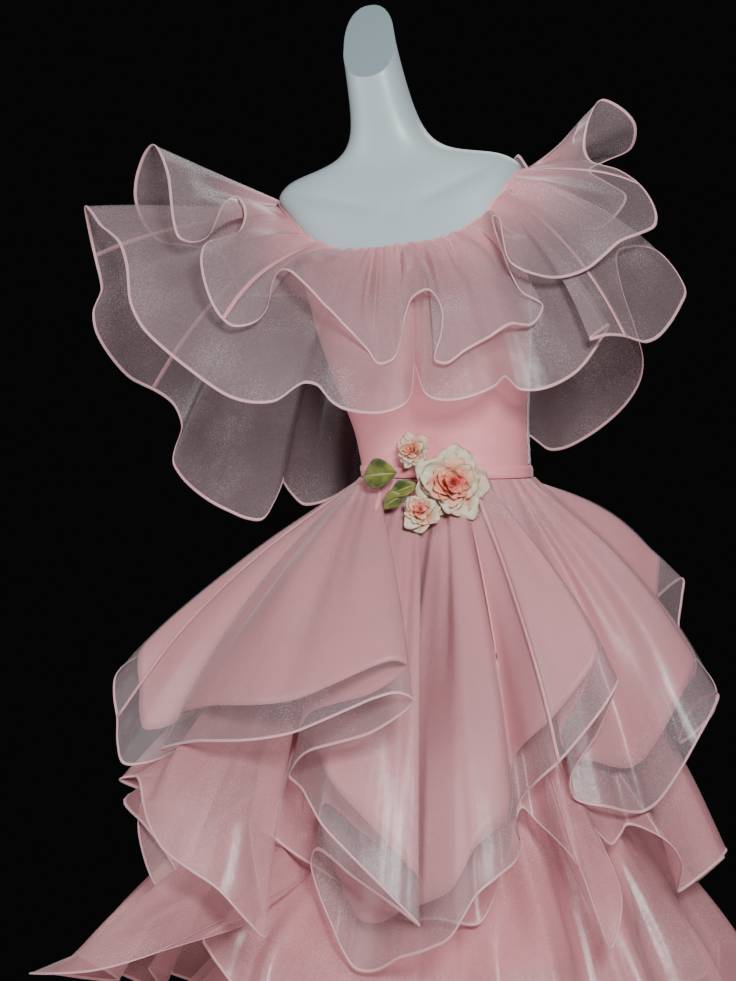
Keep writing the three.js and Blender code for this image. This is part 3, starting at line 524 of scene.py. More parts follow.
def gather_wave(turn, count):
    """Uneven gathers round the body, from -1 to 1."""
    size = GATHER_SIZE + waves(GATHER_SWELL, turn)
    return np.cos(rad(count * turn) + waves(GATHER_WANDER, turn)) * size


def round_curve(points, per):
    """A closed smooth line through points, each span cut into the same number of steps."""
    p0, p1 = np.roll(points, 1, 0), points
    p2, p3 = np.roll(points, -1, 0), np.roll(points, -2, 0)
    far = lambda a, b: np.maximum(np.linalg.norm(b - a, axis=-1, keepdims=True) ** 0.5, 1e-4)
    a, b, c = far(p0, p1), far(p1, p2), far(p2, p3)
    start = ((p1 - p0) / a - (p2 - p0) / (a + b) + (p2 - p1) / b) * b
    end = ((p2 - p1) / b - (p3 - p1) / (b + c) + (p3 - p2) / c) * b
    t = (np.arange(per) / per)[None, :, None]
    p1, p2, start, end = (v[:, None, :] for v in (p1, p2, start, end))
    return between(t, p1, p2, start, end).reshape(-1, points.shape[-1])


def refine(coarse, along, down):
    """A finer grid of points on smooth lines through a coarse one, closed round the body."""
    rows = np.stack([round_curve(row, along) for row in coarse])
    first, last = 2 * rows[:1] - rows[1:2], 2 * rows[-1:] - rows[-2:-1]
    padded_rows = np.concatenate([first, rows, last])
    out = []
    for i in range(1, len(padded_rows) - 2):
        p0, p1, p2, p3 = padded_rows[i - 1:i + 3]
        for t in np.arange(down) / down:
            out.append(between(t, p1, p2, (p2 - p0) / 2, (p3 - p1) / 2))
    out.append(rows[-1])
    return np.stack(out)


def facing(grid, closed):
    """The direction that a sheet faces at each of its points."""
    down = np.gradient(grid, axis=0)
    if closed:
        along = np.roll(grid, -1, 1) - np.roll(grid, 1, 1)
    else:
        along = np.gradient(grid, axis=1)
    normal = np.cross(down, along)
    return normal / np.maximum(np.linalg.norm(normal, axis=-1, keepdims=True), 1e-9)


def make_object(name, points, faces, places=None):
    """A smooth mesh object from points in millimetres, with a flat place for each of them."""
    mesh = bpy.data.meshes.new(name)
    mesh.from_pydata((np.asarray(points) * MM).tolist(), [], [list(face) for face in faces])
    mesh.polygons.foreach_set("use_smooth", [True] * len(mesh.polygons))
    if places is not None:
        corners = np.empty(len(mesh.loops), int)
        mesh.loops.foreach_get("vertex_index", corners)
        layer = mesh.uv_layers.new(name="cloth")
        layer.data.foreach_set("uv", np.asarray(places)[corners].ravel())
    mesh.validate()
    obj = bpy.data.objects.new(name, mesh)
    bpy.context.collection.objects.link(obj)
    return obj


def grid_faces(rows, columns, closed, start=0, flip=False):
    """The four-sided faces between a grid's points."""
    spans = columns if closed else columns - 1
    row, i = np.meshgrid(np.arange(rows - 1), np.arange(spans), indexing="ij")
    at = lambda r, c: start + r * columns + c % columns
    faces = np.stack([at(row, i), at(row + 1, i), at(row + 1, i + 1), at(row, i + 1)], -1)
    return faces.reshape(-1, 4)[:, ::-1] if flip else faces.reshape(-1, 4)


def shell_parts(grid, inside, outside, closed):
    """The points and faces of a thin wall on a grid whose rows run down."""
    rows, columns = grid.shape[:2]
    normal = facing(grid, closed)
    count = rows * columns
    points = np.concatenate([(grid + normal * outside).reshape(-1, 3),
                             (grid - normal * inside).reshape(-1, 3)])
    faces = [grid_faces(rows, columns, closed), grid_faces(rows, columns, closed, count, True)]
    spans = np.arange(columns if closed else columns - 1)
    after = (spans + 1) % columns
    bottom = (rows - 1) * columns
    faces.append(np.stack([spans, after, count + after, count + spans], -1))
    faces.append(np.stack([bottom + after, bottom + spans, count + bottom + spans,
                           count + bottom + after], -1))
    if not closed:
        down = np.arange(rows - 1) * columns
        right = columns - 1
        faces.append(np.stack([down + columns, down, count + down, count + down + columns], -1))
        faces.append(np.stack([down + right, down + columns + right,
                               count + down + columns + right, count + down + right], -1))
    return points, np.concatenate(faces)


def shell(name, grid, inside, outside, closed, places):
    """A piece of cloth with a wall, on a grid whose rows run down."""
    points, faces = shell_parts(grid, inside, outside, closed)
    return make_object(name, points, faces, np.concatenate([places, places]))


def hem_binding(name, grid):
    """A narrow rolled band of satin round the last row of a sheet."""
    edge = grid[-1]
    normal = facing(grid, True)[-1]
    down = grid[-1] - grid[-2]
    down /= np.linalg.norm(down, axis=-1, keepdims=True)
    angles = np.arange(BINDING_SIDES) * 2 * np.pi / BINDING_SIDES
    ring = np.stack([edge + down * (BINDING_WIDE / 2 * (math.cos(a) - BINDING_IN))
                     + normal * (BINDING_THICK / 2 * math.sin(a)) for a in angles])
    columns = edge.shape[0]
    spans = np.arange(columns)
    after = (spans + 1) % columns
    faces = []
    for i in range(BINDING_SIDES):
        j = (i + 1) % BINDING_SIDES
        faces.append(np.stack([i * columns + spans, j * columns + spans,
                               j * columns + after, i * columns + after], -1))
    return make_object(name, ring.reshape(-1, 3), np.concatenate(faces))


def joining_seams(name, sheet, grid):
    """The flat seams that join a sheet's lengths of cloth, from its hem to where it is sewn."""
    per = COARSE * FINE_ALONG
    normal = facing(grid, True)
    along = np.roll(grid, -1, 1) - np.roll(grid, 1, 1)
    along /= np.maximum(np.linalg.norm(along, axis=-1, keepdims=True), 1e-9)
    points, faces, start = [], [], 0
    for point in JOINS.get(sheet, []):
        i = round(point * per) % grid.shape[1]
        side = along[:, i] * JOIN_WIDE / 2
        band = np.stack([grid[:, i] - side, grid[:, i], grid[:, i] + side], 1)
        out = normal[:, i][:, None, :] * JOIN_OUT
        part, part_faces = shell_parts(band + out, 0, SHEER_THICK, False)
        points.append(part)
        faces.append(part_faces + start)
        start += len(part)
    return make_object(name, np.concatenate(points), np.concatenate(faces)) if points else None


def seam_turns(hem, rows, per):
    """Where each column starts on the seam: the hem's length is shared between named seams."""
    step = np.linalg.norm(np.roll(hem, -1, 0) - hem, axis=-1)
    far = np.concatenate([[0], np.cumsum(step)])
    pins = [(far[i * per], row["seam"]) for i, row in enumerate(rows) if row.get("seam") is not None]
    pins.append((far[-1], rows[0]["seam"] + 360))
    return np.interp(far[:-1], [pin[0] for pin in pins], [pin[1] for pin in pins])


def flounce(rows, down, swell, lift, centre, seam, settle=None):
    """A flounce from its seam to its hem, swelling out a little between them."""
    points = np.stack([polar(row["turn"], row["reach"], row["height"], centre) for row in rows])
    hem = round_curve(points, COARSE)
    seams = seam_turns(hem, rows, COARSE)
    over = np.repeat([bool(row.get("over")) for row in rows], COARSE)
    start = seam(seams)
    grid = []
    for row in range(down + 1):
        share = row / down
        swing = math.sin(math.pi * share)
        out = (share + swell * swing * np.where(over, OVER_SWELL, 1))[:, None]
        line = start * (1 - out) + hem * out
        line[:, 2] = start[:, 2] * (1 - share) + hem[:, 2] * share + lift * swing
        grid.append(settle(line, share, over) if settle and row else line)
    return np.stack(grid), seams


def underskirt_point(turn, drop, clear):
    """A point off the underskirt: it follows the waist at its top and is round below."""
    turn, drop, clear = np.broadcast_arrays(turn, drop, clear)
    round_share = smoothstep(drop, 0, UNDERSKIRT_ROUND)
    reach = read(UNDERSKIRT, "drop", drop, "reach")
    oval = on_form(turn, 0, 0)
    waist = np.hypot(oval[..., 0], oval[..., 1])
    widened = waist + reach - UNDERSKIRT[0]["reach"]
    return polar(turn, widened * (1 - round_share) + reach * round_share + clear, WAIST_HEIGHT - drop)


def field_of(turn, height):
    """The small field of turn and height that a point lies in."""
    i = np.round(turn / FIELD_TURN).astype(int) % (360 // FIELD_TURN)
    return i, np.clip(np.round(height / FIELD_TALL).astype(int), 0, FIELDS_TALL - 1)


def least_reach(grid):
    """The least reach of a sheet in small fields of turn and height."""
    least = np.full((360 // FIELD_TURN, FIELDS_TALL), np.inf)
    after = np.roll(grid, -1, 1)
    for row in range(len(grid) - 1):
        for u in np.linspace(0, 1, FIELD_STEPS + 1):
            for v in np.linspace(0, 1, 2 * FIELD_STEPS + 1):
                above = grid[row] * (1 - u) + after[row] * u
                below = grid[row + 1] * (1 - u) + after[row + 1] * u
                point = above * (1 - v) + below * v
                turn = np.rad2deg(np.arctan2(point[:, 0], -point[:, 1]))
                np.minimum.at(least, field_of(turn, point[:, 2]), np.hypot(point[:, 0], point[:, 1]))
    spread = np.minimum(least, np.minimum(np.roll(least, 1, 0), np.roll(least, -1, 0)))
    wider = np.pad(spread, ((0, 0), (1, 1)), constant_values=np.inf)
    spread = np.minimum(np.minimum(wider[:, :-2], wider[:, 2:]), spread)
    return lambda turn, height: spread[field_of(turn, height)]


def keep_between(points, outer, standoff, over=False):
    """Holds a flounce outside the underskirt and, where it isn't over them, inside others."""
    turn = np.rad2deg(np.arctan2(points[:, 0], -points[:, 1]))
    reach = np.hypot(points[:, 0], points[:, 1])
    under = underskirt_point(turn, WAIST_HEIGHT - points[:, 2], standoff)
    least = np.hypot(under[:, 0], under[:, 1])
    most = np.full(len(points), np.inf)
    for sheet_over in outer:
        most = np.minimum(most, sheet_over(turn, points[:, 2]))
    most = np.where(over, np.inf, most)
    kept = np.maximum(np.minimum(reach, most - NEST_CLEAR), least)
    return polar(turn, kept, points[:, 2])


def flat_places(grid):
    """The place of each point on the cut cloth: metres along the hem and down from the seam."""
    step = np.linalg.norm(np.roll(grid[-1], -1, 0) - grid[-1], axis=-1)
    along = np.concatenate([[0], np.cumsum(step)])[:-1]
    down = np.linalg.norm(np.diff(grid, axis=0), axis=-1)
    down = np.concatenate([np.zeros((1, grid.shape[1])), np.cumsum(down, 0)])
    return np.stack([np.broadcast_to(along, down.shape) * MM, down * MM], -1).reshape(-1, 2)


def dress(name, grid, seams):
    """Adds a sheet's soft folds and the fine gathers along its seam."""
    share = np.linspace(0, 1, len(grid))[:, None]
    turn = np.interp(np.arange(grid.shape[1]) / FINE_ALONG, np.arange(len(seams) + 1),
                     np.append(seams, seams[0] + 360))[None, :]
    push = np.zeros(grid.shape[:2])
    for fold_turn, wide, deep, begin, end in FOLDS.get(name, []):
        apart = (turn - fold_turn + 180) % 360 - 180
        run = np.clip((share - begin) / (end - begin), 0, 1)
        push += deep * np.exp(-(apart / wide) ** 2) * np.sin(np.pi * run) ** FOLD_EASE
    count, deep, fade = GATHERS[name]
    dying = np.exp(-share / fade) * smoothstep(share, *GATHER_START)
    push += deep * gather_wave(turn, count) * dying
    return grid + facing(grid, True) * push[..., None]


def finish_piece(obj, material, slot, *nodes):
    """Gives a piece its material and its place in the frame."""
    obj.data.materials.clear()
    obj.data.materials.append(material)
    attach(obj, "root")
    if nodes:
        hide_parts(*nodes)
    return obj


class Value:
    """A shader socket that takes part in sums, which become Math nodes."""

    def __init__(self, paint, socket):
        self.paint, self.socket = paint, socket

    def maths(self, operation, a, b):
        return self.paint.add("ShaderNodeMath", {"operation": operation}, {0: a, 1: b})

    def __add__(self, other):
        return self.maths("ADD", self, other)

    def __sub__(self, other):
        return self.maths("SUBTRACT", self, other)

    def __rsub__(self, other):
        return self.maths("SUBTRACT", other, self)

    def __mul__(self, other):
        return self.maths("MULTIPLY", self, other)

    __radd__, __rmul__ = __add__, __mul__


class Paint:
    """A material and one method that adds any node to it."""

    def __init__(self, name):
        self.material = bpy.data.materials.new(name)
        self.material.use_nodes = True
        self.tree = self.material.node_tree
        self.tree.nodes.clear()

    def add(self, kind, settings=None, values=None, out=0):
        node = self.tree.nodes.new(kind)
        for key, value in (settings or {}).items():
            setattr(node, key, value)
        for key, value in (values or {}).items():
            if isinstance(value, Value):
                self.tree.links.new(value.socket, node.inputs[key])
            else:
                node.inputs[key].default_value = value
        return Value(self, node.outputs[out]) if node.outputs else node

    def mix(self, share, a, b):
        a = a if isinstance(a, Value) else (*a, 1)
        b = b if isinstance(b, Value) else (*b, 1)
        return self.add("ShaderNodeMix", {"data_type": "RGBA"}, {0: share, 6: a, 7: b}, out=2)

    def fade(self, value, low, high):
        """0 below low, 1 above high and smooth between."""
        return self.add("ShaderNodeMapRange", {"interpolation_type": "SMOOTHSTEP"},
                        {0: value, 1: low, 2: high})

    def noise(self, place, scale, detail=2.0):
        return self.add("ShaderNodeTexNoise", {}, {"Vector": place, "Scale": scale, "Detail": detail})

    def surface(self, values):
        shader = self.add("ShaderNodeBsdfPrincipled", {}, values)
        self.add("ShaderNodeOutputMaterial", {}, {"Surface": shader})
        return self.material


def stretched_place(paint, along, up):
    """The flat place on the cloth, scaled so that noise makes creases that run down it."""
    flat = paint.add("ShaderNodeTexCoord", out=2)
    return paint.add("ShaderNodeVectorMath", {"operation": "MULTIPLY"}, {0: flat, 1: (along, up, 1)})


def satin_paint(name, colour, deep):
    """Satin, a little clouded and softly crumpled."""
    paint = Paint(name)
    place = paint.add("ShaderNodeTexCoord", out=3)
    cloud, grain = paint.noise(place, 14.0, 3.0), paint.noise(place, 420.0)
    crumple = paint.noise(place, 38.0, 3.0)
    bump = paint.add("ShaderNodeBump", {}, {"Strength": 0.3, "Distance": 0.002,
                                            "Height": crumple + grain * 0.1})
    return paint.surface({
        "Base Color": paint.mix(cloud, deep, colour), "Roughness": 0.40,
        "Sheen Weight": 0.3, "Sheen Roughness": 0.35, "Specular IOR Level": 0.45,
        "Normal": bump})


def organza_paint(name, colour, full, pale, alpha, clouds, glint):
    """Sheer cloth with painted glints and creases that run down it, fuller where it is gathered."""
    paint = Paint(name)
    place = paint.add("ShaderNodeTexCoord", out=3)
    cloud, grain = paint.noise(place, 11.0), paint.noise(place, 620.0, 1.0)
    creases = paint.noise(stretched_place(paint, 26.0, 3.0), 1.0)
    crumple = paint.noise(place, 30.0)
    height = creases * 1.0 + crumple * 0.5 + grain * 0.05
    bump = paint.add("ShaderNodeBump", {}, {"Strength": 0.55, "Distance": 0.004, "Height": height})
    # Painted highlight: pale specks at the glints, in cloudy patches that also thicken the cloth.
    patches = paint.fade(cloud, 0.40, 0.75)
    glints = paint.fade(grain, 0.45, 0.80) * (patches * 0.6 + 0.4)
    flat = paint.add("ShaderNodeTexCoord", out=2)
    below_seam = paint.add("ShaderNodeSeparateXYZ", {}, {0: flat}, out=1)
    gathered = 1 - paint.fade(below_seam, 0.0, GATHERED_LONG)
    cloth = paint.mix(gathered * GATHERED_COLOUR, colour, full)
    return paint.surface({
        "Base Color": paint.mix(glints, cloth, pale), "Roughness": 0.30,
        "Alpha": patches * clouds + glints * glint + gathered * GATHERED_ALPHA + alpha,
        "Sheen Weight": 0.25, "Sheen Roughness": 0.3, "Specular IOR Level": 0.6,
        "Normal": bump})


def petal_paint(name, heart, middle, edge, rim):
    """Silk petals: the first flat place runs from the flower's heart out, the second is how far
    a point lies inside the petal's rim."""
    paint = Paint(name)
    parts = paint.add("ShaderNodeTexCoord", out=2)
    out = paint.add("ShaderNodeSeparateXYZ", {}, {0: parts}, out=0)
    inside = paint.add("ShaderNodeSeparateXYZ", {}, {0: parts}, out=1)
    place = paint.add("ShaderNodeTexCoord", out=3)
    blot = paint.noise(place, 60.0, 3.0) - 0.5
    veins = paint.noise(place, 240.0)
    warm = paint.mix(paint.fade(out + blot * 0.5, 0.12, 0.50), heart, middle)
    cool = paint.mix(paint.fade(out + blot * 0.5, 0.46, 0.90), warm, edge)
    line = 1 - paint.fade(inside + blot * 0.02, 0.015, 0.05)
    bump = paint.add("ShaderNodeBump", {}, {"Strength": 0.5, "Distance": 0.0012,
                                            "Height": veins * 0.4 + blot})
    return paint.surface({"Base Color": paint.mix(line * 0.75, cool, rim), "Roughness": 0.6,
                          "Normal": bump})


def leaf_paint(name, dark, light, rim):
    """Silk leaves: the first flat place runs out from the midrib, the second in from the rim."""
    paint = Paint(name)
    parts = paint.add("ShaderNodeTexCoord", out=2)
    across = paint.add("ShaderNodeSeparateXYZ", {}, {0: parts}, out=0)
    inside = paint.add("ShaderNodeSeparateXYZ", {}, {0: parts}, out=1)
    place = paint.add("ShaderNodeTexCoord", out=3)
    blot = paint.noise(place, 45.0, 3.0)
    shade = paint.mix(paint.fade(blot, 0.35, 0.65), dark, light)
    vein = 1 - paint.fade(across, 0.03, 0.08)
    veined = paint.mix(vein * 0.55, shade, VEIN_COLOUR)
    line = 1 - paint.fade(inside, 0.03, 0.09)
    return paint.surface({"Base Color": paint.mix(line * 0.8, veined, rim), "Roughness": 0.5,
                          "Sheen Weight": 0.2})


PINK = (0.90, 0.36, 0.40)
PINK_DEEP = (0.86, 0.29, 0.33)

SATIN = satin_paint("pink satin", PINK, PINK_DEEP)
LINING = satin_paint("pink satin lining", (0.88, 0.36, 0.40), (0.85, 0.31, 0.35))
EDGE = satin_paint("satin hem binding", (0.72, 0.42, 0.45), (0.66, 0.36, 0.39))
# A paler copy of the satin for the side seams' strips: painted highlight where light catches the
# puckers.
SEAM_SHEEN_SATIN = satin_paint("pale satin", (0.74, 0.66, 0.67), (0.55, 0.48, 0.50))
FULL = (0.74, 0.31, 0.345)
# The pale colour that each organza is given is the painted highlight at its glints.
ORGANZA = organza_paint("sheer pink organza", (0.36, 0.255, 0.275), FULL, (0.74, 0.62, 0.64),
                        0.36, 0.06, 0.08)
# The lower tiers: the same organza, denser, and pinker with painted light bounced off the satin.
ORGANZA_PAINTED_BOUNCE = organza_paint("fuller organza with painted bounce light", (0.70, 0.32, 0.35), FULL, (0.88, 0.62, 0.65),
                              0.48, 0.07, 0.10)
JOINED = organza_paint("organza seam", (0.66, 0.38, 0.41), FULL, (0.84, 0.62, 0.65), 0.5, 0.05, 0.1)
PETAL = petal_paint("silk petals", (0.78, 0.12, 0.10), (0.82, 0.36, 0.24), (0.64, 0.57, 0.42),
                    (0.34, 0.22, 0.15))
LEAF = leaf_paint("silk leaves", (0.045, 0.065, 0.010), (0.19, 0.20, 0.030), (0.06, 0.025, 0.012))

FORM_PAINT = Paint("satin form").surface({
    "Base Color": (0.40, 0.49, 0.52, 1), "Roughness": 0.42, "Coat Weight": 0.12,
    "Coat Roughness": 0.25})
# A darker copy of the form's grey for its slanted cut at the neck: painted shade.
CUT_SHADE_PAINT = Paint("painted shade on neck cut").surface({
    "Base Color": (0.23, 0.30, 0.33, 1), "Roughness": 0.5})
STEEL = Paint("brushed steel").surface({
    "Base Color": (0.55, 0.56, 0.58, 1), "Roughness": 0.32, "Metallic": 1.0})


def neck_relief(grid):
    """Collar bones, the hollows over them and the notch between, on the front of the form."""
    push = np.zeros(grid.shape[:2])
    x, z = grid[..., 0], grid[..., 2]
    for bone in BONES:
        from_x0 = x - bone["x0"]
        line = bone["z0"] + bone["slope"] * from_x0 + bone["bend"] * from_x0 ** 2
        taper = (bone["to"] - bone["from"]) * BONE_TAPER
        along = (smoothstep(x, bone["from"], bone["from"] + taper)
                 * (1 - smoothstep(x, bone["to"] - taper, bone["to"])))
        push += bone["high"] * along * np.exp(-((z - line) / bone["wide"]) ** 2)
    push *= smoothstep(-grid[..., 1], *CHEST_FRONT)
    return grid - facing(grid, True) * push[..., None]


def form_columns():
    """The form's points: each column is evenly spaced, smooth, and ends on the slanted cut."""
    turns = np.arange(FORM_COLUMNS) * 360 / FORM_COLUMNS - 180
    rises = np.linspace(FORM[0]["rise"], NECK_TOP + NECK_SPARE, FORM_STEPS)
    grid = np.stack([on_form(turns, rise, 0) for rise in rises])
    rise_grid = np.broadcast_to(rises[:, None], grid.shape[:2])
    depth = grid[..., 1] + FORM[-1]["forward"]
    cut_rise = NECK_TOP + NECK_CUT_SLOPE * depth
    columns = []
    for i in range(FORM_COLUMNS):
        line, rise, cut = grid[:, i], rise_grid[:, i], cut_rise[:, i]
        last = np.argmax((rise >= cut) & (rise > NECK_BASE))
        share = (cut[last - 1] - rise[last - 1]) / max(rise[last] - rise[last - 1], 1e-6)
        end = line[last - 1] + (line[last] - line[last - 1]) * np.clip(share, 0, 1)
        kept = np.concatenate([line[:last], end[None]])
        levels = np.concatenate([rise[:last], [rise[last]]])
        far = np.concatenate([[0], np.cumsum(np.linalg.norm(np.diff(kept, axis=0), axis=-1))])
        even = np.linspace(0, far[-1], FORM_ROWS)
        columns.append(np.stack([np.interp(even, far, kept[:, axis]) for axis in range(3)]
                                + [np.interp(even, far, levels)], -1))
    return np.stack(columns, 1)


def make_form():
    """The limbless form: one smooth skin, closed below and by its slanted cut at the neck."""
    measured = form_columns()
    grid, rises = measured[..., :3], measured[..., 3]
    soften = smoothstep(rises, *SOFT_RISES)[..., None]
    for _ in range(FORM_SOFTEN):
        middle = (grid[:-2] + 2 * grid[1:-1] + grid[2:]) / 4
        grid[1:-1] = grid[1:-1] * (1 - soften[1:-1]) + middle * soften[1:-1]
    grid = neck_relief(grid)
    rows, columns = grid.shape[:2]
    centre = grid[-1].mean(0)
    raised = np.array([0, 0, CUT_RAISED])
    bevel = grid[-1] + (centre - grid[-1]) * CUT_BEVEL + raised
    points = np.concatenate([grid.reshape(-1, 3), bevel, grid[0].mean(0)[None], [centre + raised]])
    faces = grid_faces(rows + 1, columns, True, 0, True).tolist()
    low_middle, high_middle = (rows + 1) * columns, (rows + 1) * columns + 1
    for i in range(columns):
        j = (i + 1) % columns
        faces.append([j, i, low_middle])
        faces.append([rows * columns + i, rows * columns + j, high_middle])
    form = make_object("dress_form", points, faces)
    finish_piece(form, FORM_PAINT, "form_shell", "form_torso")
    crisp = form.modifiers.new("crisp cut edge", "EDGE_SPLIT")
    crisp.split_angle = math.radians(CRISP_ANGLE)
    bpy.ops.object.select_all(action="DESELECT")
    bpy.context.view_layer.objects.active = form
    form.select_set(True)
    bpy.ops.object.modifier_apply(modifier=crisp.name)
    # The cut's faces that look forward and up take the darker grey: painted shade.
    form.data.materials.append(CUT_SHADE_PAINT)
    for face in form.data.polygons:
        on_neck = face.center.z > (WAIST_HEIGHT + NECK_BASE) * MM
        if on_neck and face.normal.y < -0.5 and face.normal.z > 0.3:
            face.material_index = 1


def make_stand():
    """The pole under the form and its round base."""
    tall = WAIST_HEIGHT + FORM[0]["rise"] - BASE_THICK - 2 * STAND_GAP
    for name, node, radius, depth, low, soft in (
            ("stand_pole", "form_pole", POLE_RADIUS, tall, BASE_THICK + STAND_GAP, 0.5),
            ("stand_base", "form_base", BASE_RADIUS, BASE_THICK, 0, 2.5)):
        bpy.ops.object.select_all(action="DESELECT")
        bpy.ops.mesh.primitive_cylinder_add(
            vertices=ROUND_SIDES, radius=radius * MM, depth=depth * MM,
            location=(0, 0, (low + depth / 2) * MM))
        obj = bpy.context.object
        obj.name = name
        rounded = obj.modifiers.new("rounded edge", "BEVEL")
        rounded.width = soft * MM
        rounded.segments = 3
        bpy.ops.object.modifier_apply(modifier=rounded.name)
        bpy.ops.object.transform_apply(location=True, rotation=True, scale=True)
        bpy.ops.object.shade_smooth_by_angle(angle=math.radians(40))
        finish_piece(obj, STEEL, "stand_metal", node)


def puckers(rise, deep, count, wander, slow, shift=0):
    """Small puckers up a seam, unevenly spaced."""
    return deep * np.sin(rise * count + wander * np.sin(rise * slow) + shift)


def bodice_panel(name, low, high, node):
    """A bodice panel from the waist to its top edge."""
    turns = np.linspace(low + PANEL_APART, high - PANEL_APART, int((high - low) / PANEL_STEP))
    below = read(BODICE_TOP, "turn", np.abs(turns), "below")
    top = neck_rise(turns) - CASING_BELOW - BODICE_BELOW - below
    share = np.linspace(1, 0, PANEL_ROWS)[:, None]
    rise = share * top[None, :]
    turn = np.broadcast_to(turns, rise.shape)
    clear = FORM_CLEAR + PANEL_CLEAR + PANEL_FLARE * smoothstep(share, 0.9, 1)
    grid = on_form(turn, rise, clear)
    side_seam = np.exp(-((np.abs(turn) - SIDE_SEAM) / SIDE_SEAM_WIDE) ** 2)
    drag = puckers(rise, *PANEL_PUCKERS) * side_seam
    for row in BODICE_FOLDS:
        across = (turn - row["turn"]) / row["wide"]
        along = (rise - row["rise"] - row["slant"] * (turn - row["turn"])) / row["tall"]
        drag = drag + row["deep"] * np.exp(-across ** 2 - along ** 2)
    grid += facing(grid, False) * drag[..., None]
    places = np.stack([turn * METRES_A_DEGREE, rise * MM], -1).reshape(-1, 2)
    panel = finish_piece(shell(name, grid, 0, SATIN_THICK, False, places), SATIN, "satin", node)


def side_strip(name, middle):
    """The puckered facing over a side seam of the bodice, in paler satin: a painted highlight on the
    puckers.
    """
    rises = np.arange(SIDE_STRIP_TOP, WAISTBAND_TALL + 2, -SIDE_STRIP_STEP)[:, None]
    offset = np.linspace(-1, 1, 7)[None, :]
    wander = 0.25 * np.sin(rises * 0.21) + 0.2 * np.sin(rises * 0.57 + 1)
    turn = middle + offset * SIDE_STRIP_TURN + wander
    pucker = puckers(rises, *STRIP_PUCKERS, offset * 0.9) * (1 - 0.5 * offset ** 2)
    grid = on_form(turn, rises, FORM_CLEAR + SATIN_THICK + SIDE_STRIP_CLEAR + pucker)
    places = np.stack(np.broadcast_arrays(turn * METRES_A_DEGREE, rises * MM), -1).reshape(-1, 2)
    return finish_piece(shell(name, grid, 0.2, 0.4, False, places), SEAM_SHEEN_SATIN, "satin")


def waistband():
    """The folded satin band round the waist, a little creased along its length."""
    turns = np.arange(360) - 180.0
    rises = np.linspace(WAISTBAND_TALL, 0, BAND_ROWS)
    share = np.linspace(0, 1, BAND_ROWS)[:, None]
    pleat = BAND_PLEAT * np.sin(share * np.pi * BAND_PLEATS + waves(BAND_WANDER, turns)[None, :])
    wave = BAND_WAVE * np.sin(rad(9 * turns) + 2 * np.sin(rad(5 * turns)))[None, :]
    grid = np.stack([on_form(turns, rise, FORM_CLEAR + BAND_CLEAR) for rise in rises])
    belly = BAND_BELLY * np.sin(share * np.pi)
    grid += facing(grid, True) * (pleat + wave + belly)[..., None]
    places = np.stack(np.broadcast_arrays(turns[None, :] * 0.0019, share * 0.015), -1)
    obj = shell("waistband_cloth", grid, BAND_INSIDE, BAND_OUTSIDE, True, places.reshape(-1, 2))
    finish_piece(obj, SATIN, "satin", "waistband")


def neckline():
    """The gathered edge that the ruffles hang from, a little uneven along its top."""
    turns = np.arange(NECK_COLUMNS) * 0.4 - 180
    wave = gather_wave(turns, NECK_GATHERS)
    fine = gather_wave(turns + 3, 2 * NECK_GATHERS)
    rows = []
    for share in np.linspace(0, 1, NECK_ROWS):
        offset = CASING_ABOVE - share * (CASING_ABOVE + CASING_BELOW)
        uneven = (EDGE_WAVE * wave + EDGE_FINE * fine - EDGE_FINE) * (1 - share)
        fullness = CASING_WAVE * wave + CASING_FINE * fine + CASING_FULL
        clear = FORM_CLEAR + CASING_CLEAR + fullness * (0.45 + 0.55 * share)
        rows.append(on_form(turns, neck_rise(turns) + offset + uneven, clear))
    grid = np.stack(rows)
    obj = shell("gathered_neckline", grid, 0.4, 0.4, True, flat_places(grid))
    finish_piece(obj, SATIN, "satin", "neck_casing")


def make_underskirt():
    """The satin skirt under the flounces, hanging in soft waves."""
    turns = np.arange(UNDERSKIRT_COLUMNS) * 360 / UNDERSKIRT_COLUMNS - 180
    drops = np.concatenate([[WAIST_SEAM_DROP], np.linspace(10, UNDERSKIRT_DROP, UNDERSKIRT_ROWS)])
    grid = np.stack([underskirt_point(turns, drop, UNDERSKIRT_CLEAR) for drop in drops])
    hang = smoothstep(drops, 100, UNDERSKIRT_DROP)[:, None]
    soft = waves(UNDERSKIRT_WAVES, turns) - UNDERSKIRT_IN
    grid += facing(grid, True) * (hang * soft[None, :])[..., None]
    obj = shell("satin_underskirt", grid, 0, SATIN_THICK, True, flat_places(grid))
    finish_piece(obj, SATIN, "satin", "underskirt")


def add_sheet(name, label, coarse, seams, paint):
    """Finishes an organza sheet and its trim, and gives back the sheet's points."""
    grid = dress(name, refine(coarse, FINE_ALONG, FINE_DOWN), seams)
    rows, columns = grid.shape[:2]
    obj = make_object(label, grid.reshape(-1, 3), grid_faces(rows, columns, True), flat_places(grid))
    finish_piece(obj, paint, "organza", name)
    trims = [finish_piece(hem_binding(label + "_binding", grid), EDGE, "satin")]
    joins = joining_seams(label + "_seams", name, grid)
    if joins:
        trims.append(finish_piece(joins, JOINED, "organza"))
    return grid


def waist_seam(turn):
    """Where the top flounce is sewn on, just under the waistband's lower edge."""
    start = on_form(turn, 0, FIRST_SEAM_CLEAR)
    start[:, 2] -= WAIST_SEAM_DROP
    return start


def make_lining(sheet):
    """The satin under the top flounce: the same sheet, ending a step above its hem."""
    rows, columns = sheet.shape[:2]
    total = np.linalg.norm(sheet[0] - sheet[-1], axis=-1)
    keep = np.maximum(1 - HEM_STEP / total, LEAST_KEPT)
    column = np.arange(columns)
    out = []
    for i in range(rows):
        at = keep * i
        low = np.clip(np.floor(at).astype(int), 0, rows - 2)
        part = (at - low)[:, None]
        out.append(sheet[low, column] * (1 - part) + sheet[low + 1, column] * part)
    grid = np.stack(out)
    obj = shell("top_flounce_lining", grid, LINING_GAP + SATIN_THICK, -LINING_GAP, True,
                flat_places(grid))
    finish_piece(obj, LINING, "satin", "flounce_1_lining")


